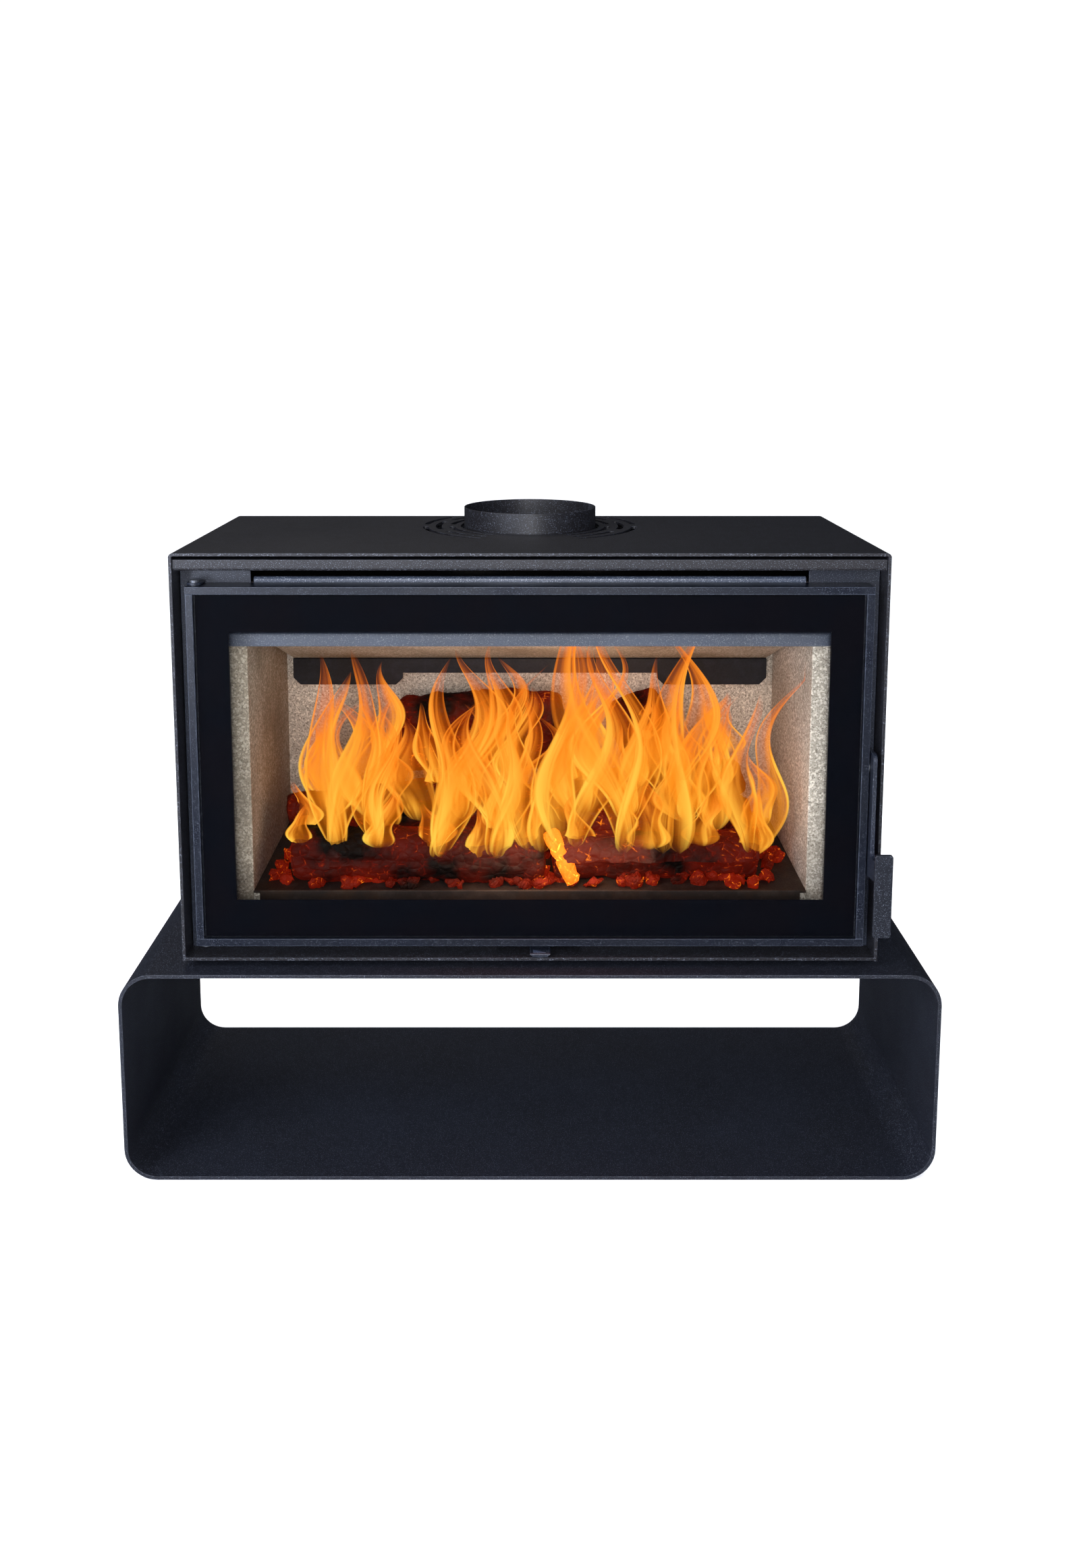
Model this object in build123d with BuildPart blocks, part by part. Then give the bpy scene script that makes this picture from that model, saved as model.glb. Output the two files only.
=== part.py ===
"""A wide wood burning stove on an open log-store stand.

Frame: millimetres, +X to the stove's right as a person facing the door sees it, +Y from the door
to the back, +Z up. The origin is on the floor, at the centre of the stand's underside.
"""

from build123d import *
from math import asin, cos, degrees, radians, sin
import os

os.makedirs("parts", exist_ok=True)

# ------------------------------------------------------------------ driving sizes, all in mm
# Stand: one closed tube of plate, open at the front and the back, that also stores logs
stand_width = 1120
stand_height = 300
stand_depth = 400
stand_wall = 5
stand_corner = 45  # outside radius of the four long bends

# Casing: one plate bent over the top and both sides, with a floor and a back
casing_width = 950
casing_height = 565
casing_depth = 400
casing_wall = 4
casing_bend = 6  # outside radius of the two top bends
casing_setback = 20  # behind the stand's front edge
floor_lift = 1  # the side plates reach this much below the floor plate
back_wall = 2
back_inset = 2  # the back panel sits this far inside the casing's rear edge

# Spacer feet between the stand and the casing, with an M8 bolt and nut each
foot_height = 10
foot_radius = 20
foot_from_side = 80
foot_from_front = 60
bolt_radius = 4
bolt_gap = 0.3  # clearance round a bolt's shank
bolt_head = 5.3
bolt_across = 13  # across the flats
nut_height = 6.4
bolt_tip = 0.5  # past the nut, chamfered all round

# Flue collar, a standard 200 mm outlet that stands in a round hole in the casing's top
flue_radius = 100  # outside
flue_wall = 2
flue_rise = 29.5  # above the casing's top
flue_to_back = 17  # from the collar to the casing's rear edge
flue_gap = 5.5  # round the collar
flange_width = 20
flange_wall = 3
flue_rim_round = 0.5
flue_bolt_radius = 3
flue_bolt_across = 10  # across the flats
flue_bolt_head = 4
flue_bolt_tip = 6  # past the firebox's top plate

# Grille: curved slots in three rings on both sides of the collar
ring_offset = 19  # from the collar to the first ring's middle
ring_pitch = 20
slot_width = 9
slot_bridge = 23.5  # from the tip of one slot to the tip of the next
slot_front_angle = 64  # where the rings stop at the front, from the side
slot_back_margin = 14  # from the last slot tips to the casing's rear edge

# Heat shield under the casing's top, whose front edge is the lip over the door
shield_gap = 5
shield_wall = 2
shield_lip = 15
shield_setback = 3
shield_play = 0.8  # to the casing's sides and back panel
shield_notch_margin = 5  # beyond the outermost slots

# Body plate: the stove's front wall behind the door
door_to_body = 2  # from the door's rear edges to the body plate
body_wall = 3
body_play = 1
notch_from_side = 96  # from the casing's side plate to the convection notch
notch_depth = 38
mouth_from_side = 63  # from the casing's side plate to the firebox mouth
mouth_low = 62  # above the casing's lower edge
mouth_from_top = 95  # below the casing's top
mouth_corner = 6
tab_slot_height = 11
tab_slot_play = 4  # beyond the air tab at both ends of its travel
convection_bar_depth = 10
convection_bar_rise = 7
convection_bar_drop = 15
convection_bar_radius = 4.5
convection_bar_play = 3

# Firebox: welded 4 mm plates, lined with vermiculite boards
firebox_wall = 4
firebox_side_gap = 51  # from the casing's side plate to the firebox's outer face
firebox_back_gap = 8  # from the firebox's back to the back panel
firebox_low = 45
firebox_from_top = 45
liner_play = 1
side_liner = 27
back_liner = 38
liner_to_body = 20  # behind the body plate
board_chamfer = 1
liner_headroom = 46  # from the top of the liners to the firebox's top plate
hearth_board = 25
hearth_wall = 3
hearth_play = 0.5
retainer_wall = 5
retainer_height = 31
retainer_to_body = 10  # behind the body plate
retainer_round = 1
retainer_short = 10  # its ends stop this far from the side liners
leg_width = 30
leg_wall = 3
leg_from_side = 55  # from the firebox's outer face
leg_to_air_box = 7
leg_back = 20  # in front of the firebox's back

# Baffle: a sloping vermiculite board over the fire, on a rear bracket and a front rod
baffle_wall = 25
baffle_length = 253
baffle_slope = 19.8
baffle_side_gap = 12
baffle_drop = 175  # from the firebox's top to the bracket's ledge
bracket_wall = 3
bracket_band = 23
bracket_tab = 42
bracket_tab_width = 174
bracket_tab_chamfer = 11
bracket_reach = 15
baffle_rod_radius = 5
baffle_rod_from_front = 15
touch_gap = 0.05  # between two parts that only rest on each other

# Air wash: a folded bar behind the top of the glass, fed by a box and two risers
wash_height = 21
wash_depth = 18
wash_wall = 3
wash_bend = 6
wash_from_mouth = 18  # below the mouth's top edge
duct_wall = 2
riser_width = 28
riser_depth = 50
port_height = 24
port_top = 4  # below the riser's top
port_margin = 6  # from the port to the riser's front and back
air_box_depth = 99
valve_hole_length = 60
valve_hole_width = 24
valve_hole_pitch = 150

# Air slider: one flat valve plate with a bent tab that comes out under the door
slider_wall = 2
slider_top = 12  # above the casing's lower edge
slider_length = 300
slider_depth = 80
slider_gap = 0.5
slider_bend = 1.8
tab_width = 28
tab_centre = 14
tab_lip = 5
tab_overhang = 2
tab_chamfer = 4
slider_travel = 40
guide_wall = 2
guide_lip = 6

# Door: four square bars, a glass pane with a printed border, a backing frame and a rope seal
door_side_gap = 16
door_low = 22
door_from_top = 45
door_bar = 10
door_depth = 35
door_back_corner = 8
glass_wall = 4
glass_recess = 2
glass_play = 1.4
glass_corner = 4
glass_chamfer = 0.5
gasket_wall = 3
gasket_edge = 5  # from the glass's edge to the gasket
gasket_width = 30
backing_wall = 3
backing_width = 41
channel_from_mouth = 18  # from the mouth's edge to the rope's centre line
channel_wall = 2
channel_to_body = 5
rope_radius = 6
rope_side_play = 1
rope_play = 0.5  # from the rope to the body plate
channel_corner = 22

# Hinges: a pin through a bracket into the door's top and bottom bars
hinge_inset = 9  # from the door's left face to the pin's axis
hinge_setback = 18
hinge_pin_radius = 4
hinge_pin_gap = 0.05
hinge_bracket_wall = 3
hinge_bracket_radius = 10
hinge_washer = 0.6
hinge_washer_inset = 2  # from the bracket's round end
hinge_pin_tip = 1  # from the pin's end to the bar's inner face
hinge_head = 3
hinge_head_radius = 6.5

# Handle: a lever plate in the gap beside the door, a flat grip and a nose behind a fixed pin
lever_wall = 5
lever_from_door = 2.5
lever_front = -12
lever_back = 20
lever_top = 295
lever_arm_top = 155
lever_arm_low = 131
lever_heel = 119
lever_reach = -48
lever_radius = 8
pivot_y = 13
pivot_z = 271
pivot_radius = 4
pivot_gap = 0.05
pivot_play = 0.3
pivot_head = 2.6
pivot_head_radius = 7
pivot_chamfer = 0.8
pivot_pin_tip = 1  # from the pin's end to the stile's inner face
grip_width = 24
grip_wall = 5
grip_low = 58
grip_high = 172
grip_corner = 4
grip_chamfer = 0.6
grip_offset = 4.5  # how far the grip's left edge lies left of the lever
striker_y = 27
striker_z = 262
striker_radius = 3
striker_bracket_wall = 3
nose_gap = 0.5  # below the striker, with the handle at rest
nose_step = 2.5  # from the nose's top to the finger it stands on
finger_height = 6
nose_width = 4
nose_set = 1  # between the striker and the nose behind it

# Back panel screws and vents
flange_leg = 20
flange_leg_wall = 2
screw_radius = 2.5
screw_head_radius = 4.5
screw_head = 2.5
screw_head_round = 1.2
screw_tip = 4  # past the flange
screw_count = 5
vent_length = 60
vent_width = 6
vent_columns = 9
vent_rows = 3
vent_pitch_x = 84
vent_pitch_z = 14
vent_low = 44

# ------------------------------------------------------------------ planes and places that follow
base_z = stand_height + foot_height  # the casing's lower edge
top_z = base_z + casing_height
front_y = -stand_depth / 2 + casing_setback  # the casing's front edge
back_y = front_y + casing_depth
inner_x = casing_width / 2 - casing_wall  # the side plates' inner faces
floor_top_z = base_z + floor_lift + casing_wall
panel_y = back_y - back_inset - back_wall  # the back panel's front face

flue_y = back_y - flue_to_back - flue_radius
flue_bore = flue_radius - flue_wall
last_ring = flue_radius + ring_offset + 2 * ring_pitch

door_back_y = front_y + door_depth
body_y = door_back_y + door_to_body
body_back_y = body_y + body_wall
mouth_x = inner_x - mouth_from_side
mouth_low_z = base_z + mouth_low
mouth_top_z = top_z - mouth_from_top
notch_x = inner_x - notch_from_side

firebox_x = inner_x - firebox_side_gap
firebox_low_z = base_z + firebox_low
firebox_top_z = top_z - firebox_from_top
firebox_back_y = panel_y - firebox_back_gap
liner_out_x = firebox_x - firebox_wall - liner_play
liner_x = liner_out_x - side_liner
liner_low_z = firebox_low_z + firebox_wall
liner_top_z = firebox_top_z - liner_headroom - firebox_wall
liner_y = body_back_y + liner_to_body
back_liner_y = firebox_back_y - firebox_wall - liner_play - back_liner
hearth_z = liner_low_z + hearth_board + hearth_wall

ledge_z = firebox_top_z - baffle_drop
slope = radians(baffle_slope)

slider_z = base_z + slider_top - slider_wall
air_box_z = base_z + slider_top + slider_gap

door_x = inner_x - door_side_gap
door_low_z = base_z + door_low
door_top_z = top_z - door_from_top
glass_y = front_y + glass_recess
gasket_y = glass_y + glass_wall
backing_y = gasket_y + gasket_wall
channel_y = backing_y + backing_wall
channel_depth = body_y - channel_to_body - channel_y
rope_x = mouth_x + channel_from_mouth
rope_low_z = mouth_low_z - channel_from_mouth
rope_top_z = mouth_top_z + channel_from_mouth
rope_y = body_y - rope_play - rope_radius

hinge_x = -door_x + hinge_inset
hinge_y = front_y + hinge_setback
lever_x = door_x + lever_from_door


# ------------------------------------------------------------------ helpers
def save(piece, name):
    """Label a finished piece and write it as one STEP file."""
    piece.part.label = name
    export_step(piece.part, f"parts/{name}.step")


def plate(x, y, z):
    """A flat plate or bar that fills the three given spans."""
    with BuildPart() as piece:
        with BuildSketch(Plane.XY.offset(z[0])):
            with Locations(((x[0] + x[1]) / 2, (y[0] + y[1]) / 2)):
                Rectangle(x[1] - x[0], y[1] - y[0])
        extrude(amount=z[1] - z[0])
    return piece


def upright(y):
    """A sketch plane that faces the front, at depth y, whose up direction is +Z."""
    return Plane((0, y, 0), x_dir=(1, 0, 0), z_dir=(0, -1, 0))


def frame_sketch(half_x, low_z, high_z, width, corner=0.0):
    """An upright rectangular ring, given its outer half width, its outer heights and its width."""
    with Locations((0, (low_z + high_z) / 2)):
        rounded(2 * half_x, high_z - low_z, corner)
        inner = max(corner - width, 0)
        rounded(2 * (half_x - width), high_z - low_z - 2 * width, inner, Mode.SUBTRACT)


def rounded(width, height, radius, mode=Mode.ADD):
    """A rectangle, with round corners where a radius is given."""
    if radius > 0:
        RectangleRounded(width, height, radius, mode=mode)
    else:
        Rectangle(width, height, mode=mode)


# ------------------------------------------------------------------ stand and spacer feet
foot_x = casing_width / 2 - foot_from_side
foot_y = [front_y + foot_from_front, back_y - foot_from_front]
foot_places = [(x, y) for x in (-foot_x, foot_x) for y in foot_y]

with BuildPart() as stand_shell:
    with BuildSketch(upright(stand_depth / 2)):
        with Locations((0, stand_height / 2)):
            rounded(stand_width, stand_height, stand_corner)
            rounded(
                stand_width - 2 * stand_wall,
                stand_height - 2 * stand_wall,
                stand_corner - stand_wall,
                Mode.SUBTRACT,
            )
    extrude(amount=stand_depth)
    with Locations(*[(x, y, stand_height) for x, y in foot_places]):
        Hole(bolt_radius + bolt_gap, depth=2 * stand_wall)
save(stand_shell, "stand_shell")

with BuildPart() as spacer_feet:
    with BuildSketch(Plane.XY.offset(stand_height)):
        with Locations(*foot_places):
            Circle(foot_radius)
            Circle(bolt_radius + bolt_gap, mode=Mode.SUBTRACT)
    extrude(amount=foot_height + floor_lift)
save(spacer_feet, "spacer_feet")

with BuildPart() as foot_bolts:
    with BuildSketch(Plane.XY.offset(stand_height - stand_wall)):
        with Locations(*foot_places):
            RegularPolygon(bolt_across / 2, 6, major_radius=False)
    extrude(amount=-bolt_head)
    with BuildSketch(Plane.XY.offset(stand_height - stand_wall)):
        with Locations(*foot_places):
            Circle(bolt_radius)
    extrude(amount=floor_top_z - stand_height + stand_wall + nut_height + bolt_tip)
    chamfer(foot_bolts.faces().sort_by(Axis.Z)[-4:].edges(), bolt_tip)
save(foot_bolts, "foot_bolts")

with BuildPart() as foot_nuts:
    with BuildSketch(Plane.XY.offset(floor_top_z)):
        with Locations(*foot_places):
            RegularPolygon(bolt_across / 2, 6, major_radius=False)
            Circle(bolt_radius + touch_gap, mode=Mode.SUBTRACT)
    extrude(amount=nut_height)
save(foot_nuts, "foot_nuts")


# ------------------------------------------------------------------ casing
def slot_spans(ring_radius, bridged_at_side):
    """Angles, in degrees from the side, between which one ring's slots run on the right."""
    half_bridge = degrees(slot_bridge / 2 / ring_radius)
    reach = flue_radius + flue_to_back - slot_back_margin
    back = degrees(asin(min(reach / ring_radius, 1)))
    if bridged_at_side:
        return [(-slot_front_angle, -half_bridge), (half_bridge, back)]
    middle = back / 2
    return [
        (-slot_front_angle, -middle - half_bridge),
        (-middle + half_bridge, middle - half_bridge),
        (middle + half_bridge, back),
    ]


with BuildPart() as casing_shell:
    with BuildSketch(upright(back_y)):
        with BuildLine():
            FilletPolyline(
                (-casing_width / 2, base_z),
                (-casing_width / 2, top_z),
                (casing_width / 2, top_z),
                (casing_width / 2, base_z),
                radius=casing_bend,
            )
            Line((casing_width / 2, base_z), (inner_x, base_z))
            FilletPolyline(
                (inner_x, base_z),
                (inner_x, top_z - casing_wall),
                (-inner_x, top_z - casing_wall),
                (-inner_x, base_z),
                radius=casing_bend - casing_wall,
            )
            Line((-inner_x, base_z), (-casing_width / 2, base_z))
        make_face()
    extrude(amount=casing_depth)
    with BuildSketch(Plane.XY.offset(top_z)):
        with Locations((0, flue_y)):
            Circle(flue_radius + flue_gap)
    extrude(amount=-casing_wall, mode=Mode.SUBTRACT)
    for ring in range(3):
        ring_radius = flue_radius + ring_offset + ring * ring_pitch
        tip = degrees(slot_width / 2 / ring_radius)
        for start, end in slot_spans(ring_radius, ring != 1):
            for first in (start + tip, 180 - end + tip):
                with BuildSketch(Plane.XY.offset(top_z)):
                    with BuildLine(mode=Mode.PRIVATE):
                        middle_arc = CenterArc((0, flue_y), ring_radius, first, end - start - 2 * tip)
                    SlotArc(middle_arc, slot_width)
                extrude(amount=-casing_wall, mode=Mode.SUBTRACT)
save(casing_shell, "casing_shell")

with BuildPart() as casing_floor:
    with BuildSketch(Plane.XY.offset(base_z + floor_lift)):
        with Locations((0, (front_y + panel_y) / 2)):
            Rectangle(2 * inner_x, panel_y - front_y)
    extrude(amount=casing_wall)
    with Locations(*[(x, y, floor_top_z) for x, y in foot_places]):
        Hole(bolt_radius + bolt_gap, depth=casing_wall)
save(casing_floor, "casing_floor")

panel_low_z = floor_top_z
panel_top_z = top_z - casing_wall - touch_gap
screw_x = inner_x - flange_leg / 2
screw_z = [
    panel_low_z + flange_leg + row * (panel_top_z - panel_low_z - 2 * flange_leg) / (screw_count - 1)
    for row in range(screw_count)
]
screw_places = [(x, z) for x in (-screw_x, screw_x) for z in screw_z]

with BuildPart() as back_panel:
    with BuildSketch(upright(panel_y + back_wall)) as panel_outline:
        with Locations((0, (panel_low_z + panel_top_z) / 2)):
            Rectangle(2 * (inner_x - touch_gap), panel_top_z - panel_low_z)
        chamfer(panel_outline.vertices().group_by(Axis.Z)[-1], casing_bend - casing_wall)
        with Locations(*screw_places):
            Circle(screw_radius + touch_gap, mode=Mode.SUBTRACT)
        for vent_z in (panel_low_z + vent_low, panel_top_z - vent_low):
            with Locations((0, vent_z)):
                with GridLocations(vent_pitch_x, vent_pitch_z, vent_columns, vent_rows):
                    SlotOverall(vent_length, vent_width, mode=Mode.SUBTRACT)
    extrude(amount=back_wall)
save(back_panel, "back_panel")

with BuildPart() as back_flanges:
    for side in (-1, 1):
        with BuildSketch(Plane.XY.offset(panel_low_z)):
            with BuildLine():
                Polyline(
                    (side * inner_x, panel_y),
                    (side * (inner_x - flange_leg), panel_y),
                    (side * (inner_x - flange_leg), panel_y - flange_leg_wall),
                    (side * (inner_x - flange_leg_wall), panel_y - flange_leg_wall),
                    (side * (inner_x - flange_leg_wall), panel_y - flange_leg),
                    (side * inner_x, panel_y - flange_leg),
                    close=True,
                )
            make_face()
        extrude(amount=panel_top_z - panel_low_z - shield_gap - shield_wall - shield_lip)
    with BuildSketch(upright(panel_y)):
        with Locations(*screw_places):
            Circle(screw_radius + touch_gap)
    extrude(amount=flange_leg_wall, mode=Mode.SUBTRACT)
save(back_flanges, "back_flanges")

with BuildPart() as back_screws:
    with BuildSketch(upright(panel_y + back_wall)):
        with Locations(*screw_places):
            Circle(screw_radius)
    extrude(amount=back_wall + flange_leg_wall + screw_tip)
    with BuildSketch(upright(panel_y + back_wall)):
        with Locations(*screw_places):
            Circle(screw_head_radius)
    extrude(amount=-screw_head)
    fillet(back_screws.faces().sort_by(Axis.Y)[-2 * screw_count :].edges(), screw_head_round)
save(back_screws, "back_screws")

# The shield lies under the casing's top, with a notch below the grille
shield_top_z = top_z - casing_wall - shield_gap
shield_low_z = shield_top_z - shield_lip
shield_front_y = front_y + shield_setback
with BuildPart() as top_heat_shield:
    with BuildSketch(Plane.YZ.offset(-inner_x + shield_play)):
        with BuildLine():
            Polyline(
                (panel_y - shield_play, shield_top_z),
                (shield_front_y, shield_top_z),
                (shield_front_y, shield_low_z),
                (shield_front_y + 2 * shield_wall, shield_low_z),
                (shield_front_y + 2 * shield_wall, shield_top_z - shield_wall),
                (panel_y - shield_play, shield_top_z - shield_wall),
                close=True,
            )
        make_face()
    extrude(amount=2 * (inner_x - shield_play))
    low_front = top_heat_shield.edges().filter_by(Axis.X).group_by(Axis.Z)[0].sort_by(Axis.Y)[0]
    fillet(low_front, 2 * (shield_wall - touch_gap))
    with BuildSketch(Plane.XY.offset(shield_top_z)):
        with Locations((0, flue_y)):
            Circle(last_ring + slot_width / 2 + shield_notch_margin)
    extrude(amount=-shield_wall, mode=Mode.SUBTRACT)
save(top_heat_shield, "top_heat_shield")

# ------------------------------------------------------------------ body plate and convection bar
tab_reach = tab_width / 2 + slider_travel + tab_slot_play
tab_slot = (tab_centre - tab_reach, tab_centre + tab_reach)
body_top_z = shield_top_z - shield_wall - body_play
with BuildPart() as body_plate:
    with BuildSketch(upright(body_back_y)):
        with Locations((0, (floor_top_z + body_top_z) / 2)):
            Rectangle(2 * (inner_x - body_play), body_top_z - floor_top_z)
        with Locations((0, (mouth_low_z + mouth_top_z) / 2)):
            RectangleRounded(2 * mouth_x, mouth_top_z - mouth_low_z, mouth_corner, mode=Mode.SUBTRACT)
        with Locations((0, body_top_z - notch_depth / 2)):
            Rectangle(2 * notch_x, notch_depth, mode=Mode.SUBTRACT)
        with Locations(((tab_slot[0] + tab_slot[1]) / 2, floor_top_z + tab_slot_height / 2)):
            Rectangle(tab_slot[1] - tab_slot[0], tab_slot_height, mode=Mode.SUBTRACT)
    extrude(amount=body_wall)
save(body_plate, "body_plate")

bar_x = notch_x - convection_bar_play
with BuildPart() as convection_bar:
    with BuildSketch(Plane.YZ.offset(-bar_x)):
        with Locations((body_back_y + convection_bar_depth / 2, firebox_top_z)):
            with Locations((0, (convection_bar_rise - convection_bar_drop) / 2)):
                Rectangle(convection_bar_depth, convection_bar_rise + convection_bar_drop)
    extrude(amount=2 * bar_x)
    upper_edges = convection_bar.edges().filter_by(Axis.X).group_by(Axis.Z)[-1]
    fillet(upper_edges, convection_bar_radius)
save(convection_bar, "convection_bar")

# ------------------------------------------------------------------ firebox shell
save(
    plate((-firebox_x, firebox_x), (body_back_y, firebox_back_y), (firebox_low_z, liner_low_z)),
    "firebox_floor",
)
save(
    plate(
        (-firebox_x + firebox_wall, firebox_x - firebox_wall),
        (firebox_back_y - firebox_wall, firebox_back_y),
        (liner_low_z, firebox_top_z - firebox_wall),
    ),
    "firebox_back",
)

riser_y = (body_back_y, body_back_y + riser_depth)
riser_top_z = firebox_top_z - firebox_wall - liner_play
port_z = (riser_top_z - port_top - port_height, riser_top_z - port_top)
for name, side in (("firebox_left_side", -1), ("firebox_right_side", 1)):
    with BuildPart() as firebox_side:
        with BuildSketch(Plane.YZ.offset(side * (firebox_x - firebox_wall))):
            with Locations(
                (
                    (body_back_y + firebox_back_y) / 2,
                    (liner_low_z + firebox_top_z - firebox_wall) / 2,
                )
            ):
                Rectangle(firebox_back_y - body_back_y, firebox_top_z - firebox_wall - liner_low_z)
            with Locations((sum(riser_y) / 2, sum(port_z) / 2)):
                Rectangle(riser_depth - 2 * port_margin, port_z[1] - port_z[0], mode=Mode.SUBTRACT)
        extrude(amount=side * firebox_wall)
    save(firebox_side, name)

flange_bolt_ring = flue_radius + flange_width / 2
flange_bolt_angles = (30, 150, 210, 330)
flange_bolt_places = [
    (flange_bolt_ring * cos(radians(a)), flue_y + flange_bolt_ring * sin(radians(a)))
    for a in flange_bolt_angles
]
with BuildPart() as firebox_top:
    with BuildSketch(Plane.XY.offset(firebox_top_z)):
        with Locations((0, (body_back_y + firebox_back_y) / 2)):
            Rectangle(2 * firebox_x, firebox_back_y - body_back_y)
        with Locations((0, body_back_y + convection_bar_depth / 2)):
            Rectangle(2 * bar_x + 2 * touch_gap, convection_bar_depth, mode=Mode.SUBTRACT)
        with Locations((0, flue_y)):
            Circle(flue_bore, mode=Mode.SUBTRACT)
        with Locations(*flange_bolt_places):
            Circle(flue_bolt_radius + touch_gap, mode=Mode.SUBTRACT)
    extrude(amount=-firebox_wall)
save(firebox_top, "firebox_top")

with BuildPart() as firebox_legs:
    for side in (-1, 1):
        middle_x = side * (firebox_x - leg_from_side - leg_width / 2)
        leg_y = (body_back_y + air_box_depth + leg_to_air_box, firebox_back_y - leg_back)
        with BuildSketch(Plane.XZ.offset(-leg_y[1])):
            with Locations((middle_x, (floor_top_z + firebox_low_z) / 2)):
                Rectangle(leg_width, firebox_low_z - floor_top_z)
            with Locations((middle_x, (floor_top_z + firebox_low_z - leg_wall) / 2)):
                Rectangle(
                    leg_width - 2 * leg_wall,
                    firebox_low_z - floor_top_z - leg_wall,
                    mode=Mode.SUBTRACT,
                )
        extrude(amount=leg_y[1] - leg_y[0])
save(firebox_legs, "firebox_legs")

# ------------------------------------------------------------------ liners, hearth and retainer
board_low = (back_liner_y - baffle_wall * sin(slope) - 2 * touch_gap, ledge_z + touch_gap)
rod_along = baffle_length - baffle_rod_from_front
rod_place = (
    board_low[0] - rod_along * cos(slope) - (baffle_rod_radius + touch_gap) * sin(slope),
    board_low[1] + rod_along * sin(slope) - (baffle_rod_radius + touch_gap) * cos(slope),
)

for name, side in (("left_liner", -1), ("right_liner", 1)):
    with BuildPart() as liner:
        with BuildSketch(Plane.YZ.offset(side * liner_x)):
            with Locations(((liner_y + back_liner_y) / 2, (liner_low_z + liner_top_z) / 2)):
                Rectangle(back_liner_y - liner_y, liner_top_z - liner_low_z)
            with Locations(rod_place):
                Circle(baffle_rod_radius + bolt_gap, mode=Mode.SUBTRACT)
        extrude(amount=side * side_liner)
        chamfer(liner.edges().filter_by(Axis.Z), board_chamfer)
    save(liner, name)

save(
    plate(
        (-liner_out_x, liner_out_x),
        (back_liner_y, back_liner_y + back_liner),
        (liner_low_z, liner_top_z),
    ),
    "back_liner",
)

retainer_y = body_back_y + retainer_to_body
hearth_span = (
    (-liner_x + hearth_play, liner_x - hearth_play),
    (retainer_y + retainer_wall + hearth_play, back_liner_y - hearth_play),
)
save(plate(*hearth_span, (liner_low_z, liner_low_z + hearth_board)), "hearth_board")
save(plate(*hearth_span, (liner_low_z + hearth_board, hearth_z)), "hearth_plate")

with BuildPart() as log_retainer:
    half = liner_x - retainer_short
    with BuildSketch(upright(retainer_y + retainer_wall)):
        with Locations((0, liner_low_z + retainer_height / 2)):
            Rectangle(2 * half, retainer_height)
    extrude(amount=retainer_wall)
    fillet(log_retainer.edges().filter_by(Axis.X).group_by(Axis.Z)[-1], retainer_round)
save(log_retainer, "log_retainer")

# ------------------------------------------------------------------ baffle, its bracket and its rod
with BuildPart() as baffle_board:
    board_plane = Plane(
        origin=(0, board_low[0], board_low[1]),
        x_dir=(1, 0, 0),
        z_dir=(0, sin(slope), cos(slope)),
    )
    with BuildSketch(board_plane):
        with Locations((0, -baffle_length / 2)):
            Rectangle(2 * (liner_x - baffle_side_gap), baffle_length)
    extrude(amount=baffle_wall)
    chamfer(baffle_board.edges().filter_by(Axis.X), board_chamfer)
save(baffle_board, "baffle_board")

bracket_x = liner_x - baffle_side_gap
bracket_y = back_liner_y - bracket_reach
with BuildPart() as baffle_bracket:
    with BuildSketch(upright(bracket_y + bracket_wall)):
        with Locations((0, ledge_z - bracket_band / 2)):
            Rectangle(2 * bracket_x, bracket_band)
        for side in (-1, 1):
            outer_x = side * bracket_x
            inner_tab_x = side * (bracket_x - bracket_tab_width)
            with BuildLine():
                Polyline(
                    (outer_x, ledge_z),
                    (outer_x, ledge_z - bracket_tab + bracket_tab_chamfer),
                    (outer_x - side * bracket_tab_chamfer, ledge_z - bracket_tab),
                    (inner_tab_x + side * bracket_tab_chamfer, ledge_z - bracket_tab),
                    (inner_tab_x, ledge_z - bracket_tab + bracket_tab_chamfer),
                    (inner_tab_x, ledge_z),
                    close=True,
                )
            make_face()
    extrude(amount=bracket_wall)
    with BuildSketch(Plane.XY.offset(ledge_z)):
        with Locations((0, (bracket_y + back_liner_y) / 2)):
            Rectangle(2 * bracket_x, bracket_reach)
    extrude(amount=-bracket_wall)
save(baffle_bracket, "baffle_bracket")

with BuildPart() as baffle_rod:
    with BuildSketch(Plane.YZ.offset(-liner_out_x)):
        with Locations(rod_place):
            Circle(baffle_rod_radius)
    extrude(amount=2 * liner_out_x)
save(baffle_rod, "baffle_rod")

# ------------------------------------------------------------------ air wash, risers and air box
wash_top_z = mouth_top_z - wash_from_mouth
wash_x = firebox_x - firebox_wall - liner_play
with BuildPart() as air_wash_bar:
    with BuildSketch(Plane.YZ.offset(-wash_x)):
        with BuildLine():
            Polyline(
                (body_back_y, wash_top_z),
                (body_back_y + wash_depth, wash_top_z),
                (body_back_y + wash_depth, wash_top_z - wash_wall),
                (body_back_y + wash_wall, wash_top_z - wash_wall),
                (body_back_y + wash_wall, wash_top_z - wash_height),
                (body_back_y, wash_top_z - wash_height),
                close=True,
            )
        make_face()
    extrude(amount=2 * wash_x)
    long_edges = air_wash_bar.edges().filter_by(Axis.X)
    fillet(long_edges.group_by(Axis.Z)[-1].sort_by(Axis.Y)[0], wash_bend)
    fillet(air_wash_bar.edges().filter_by(Axis.X).group_by(Axis.Z)[0], wash_wall / 2 - touch_gap)
save(air_wash_bar, "air_wash_bar")

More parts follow.
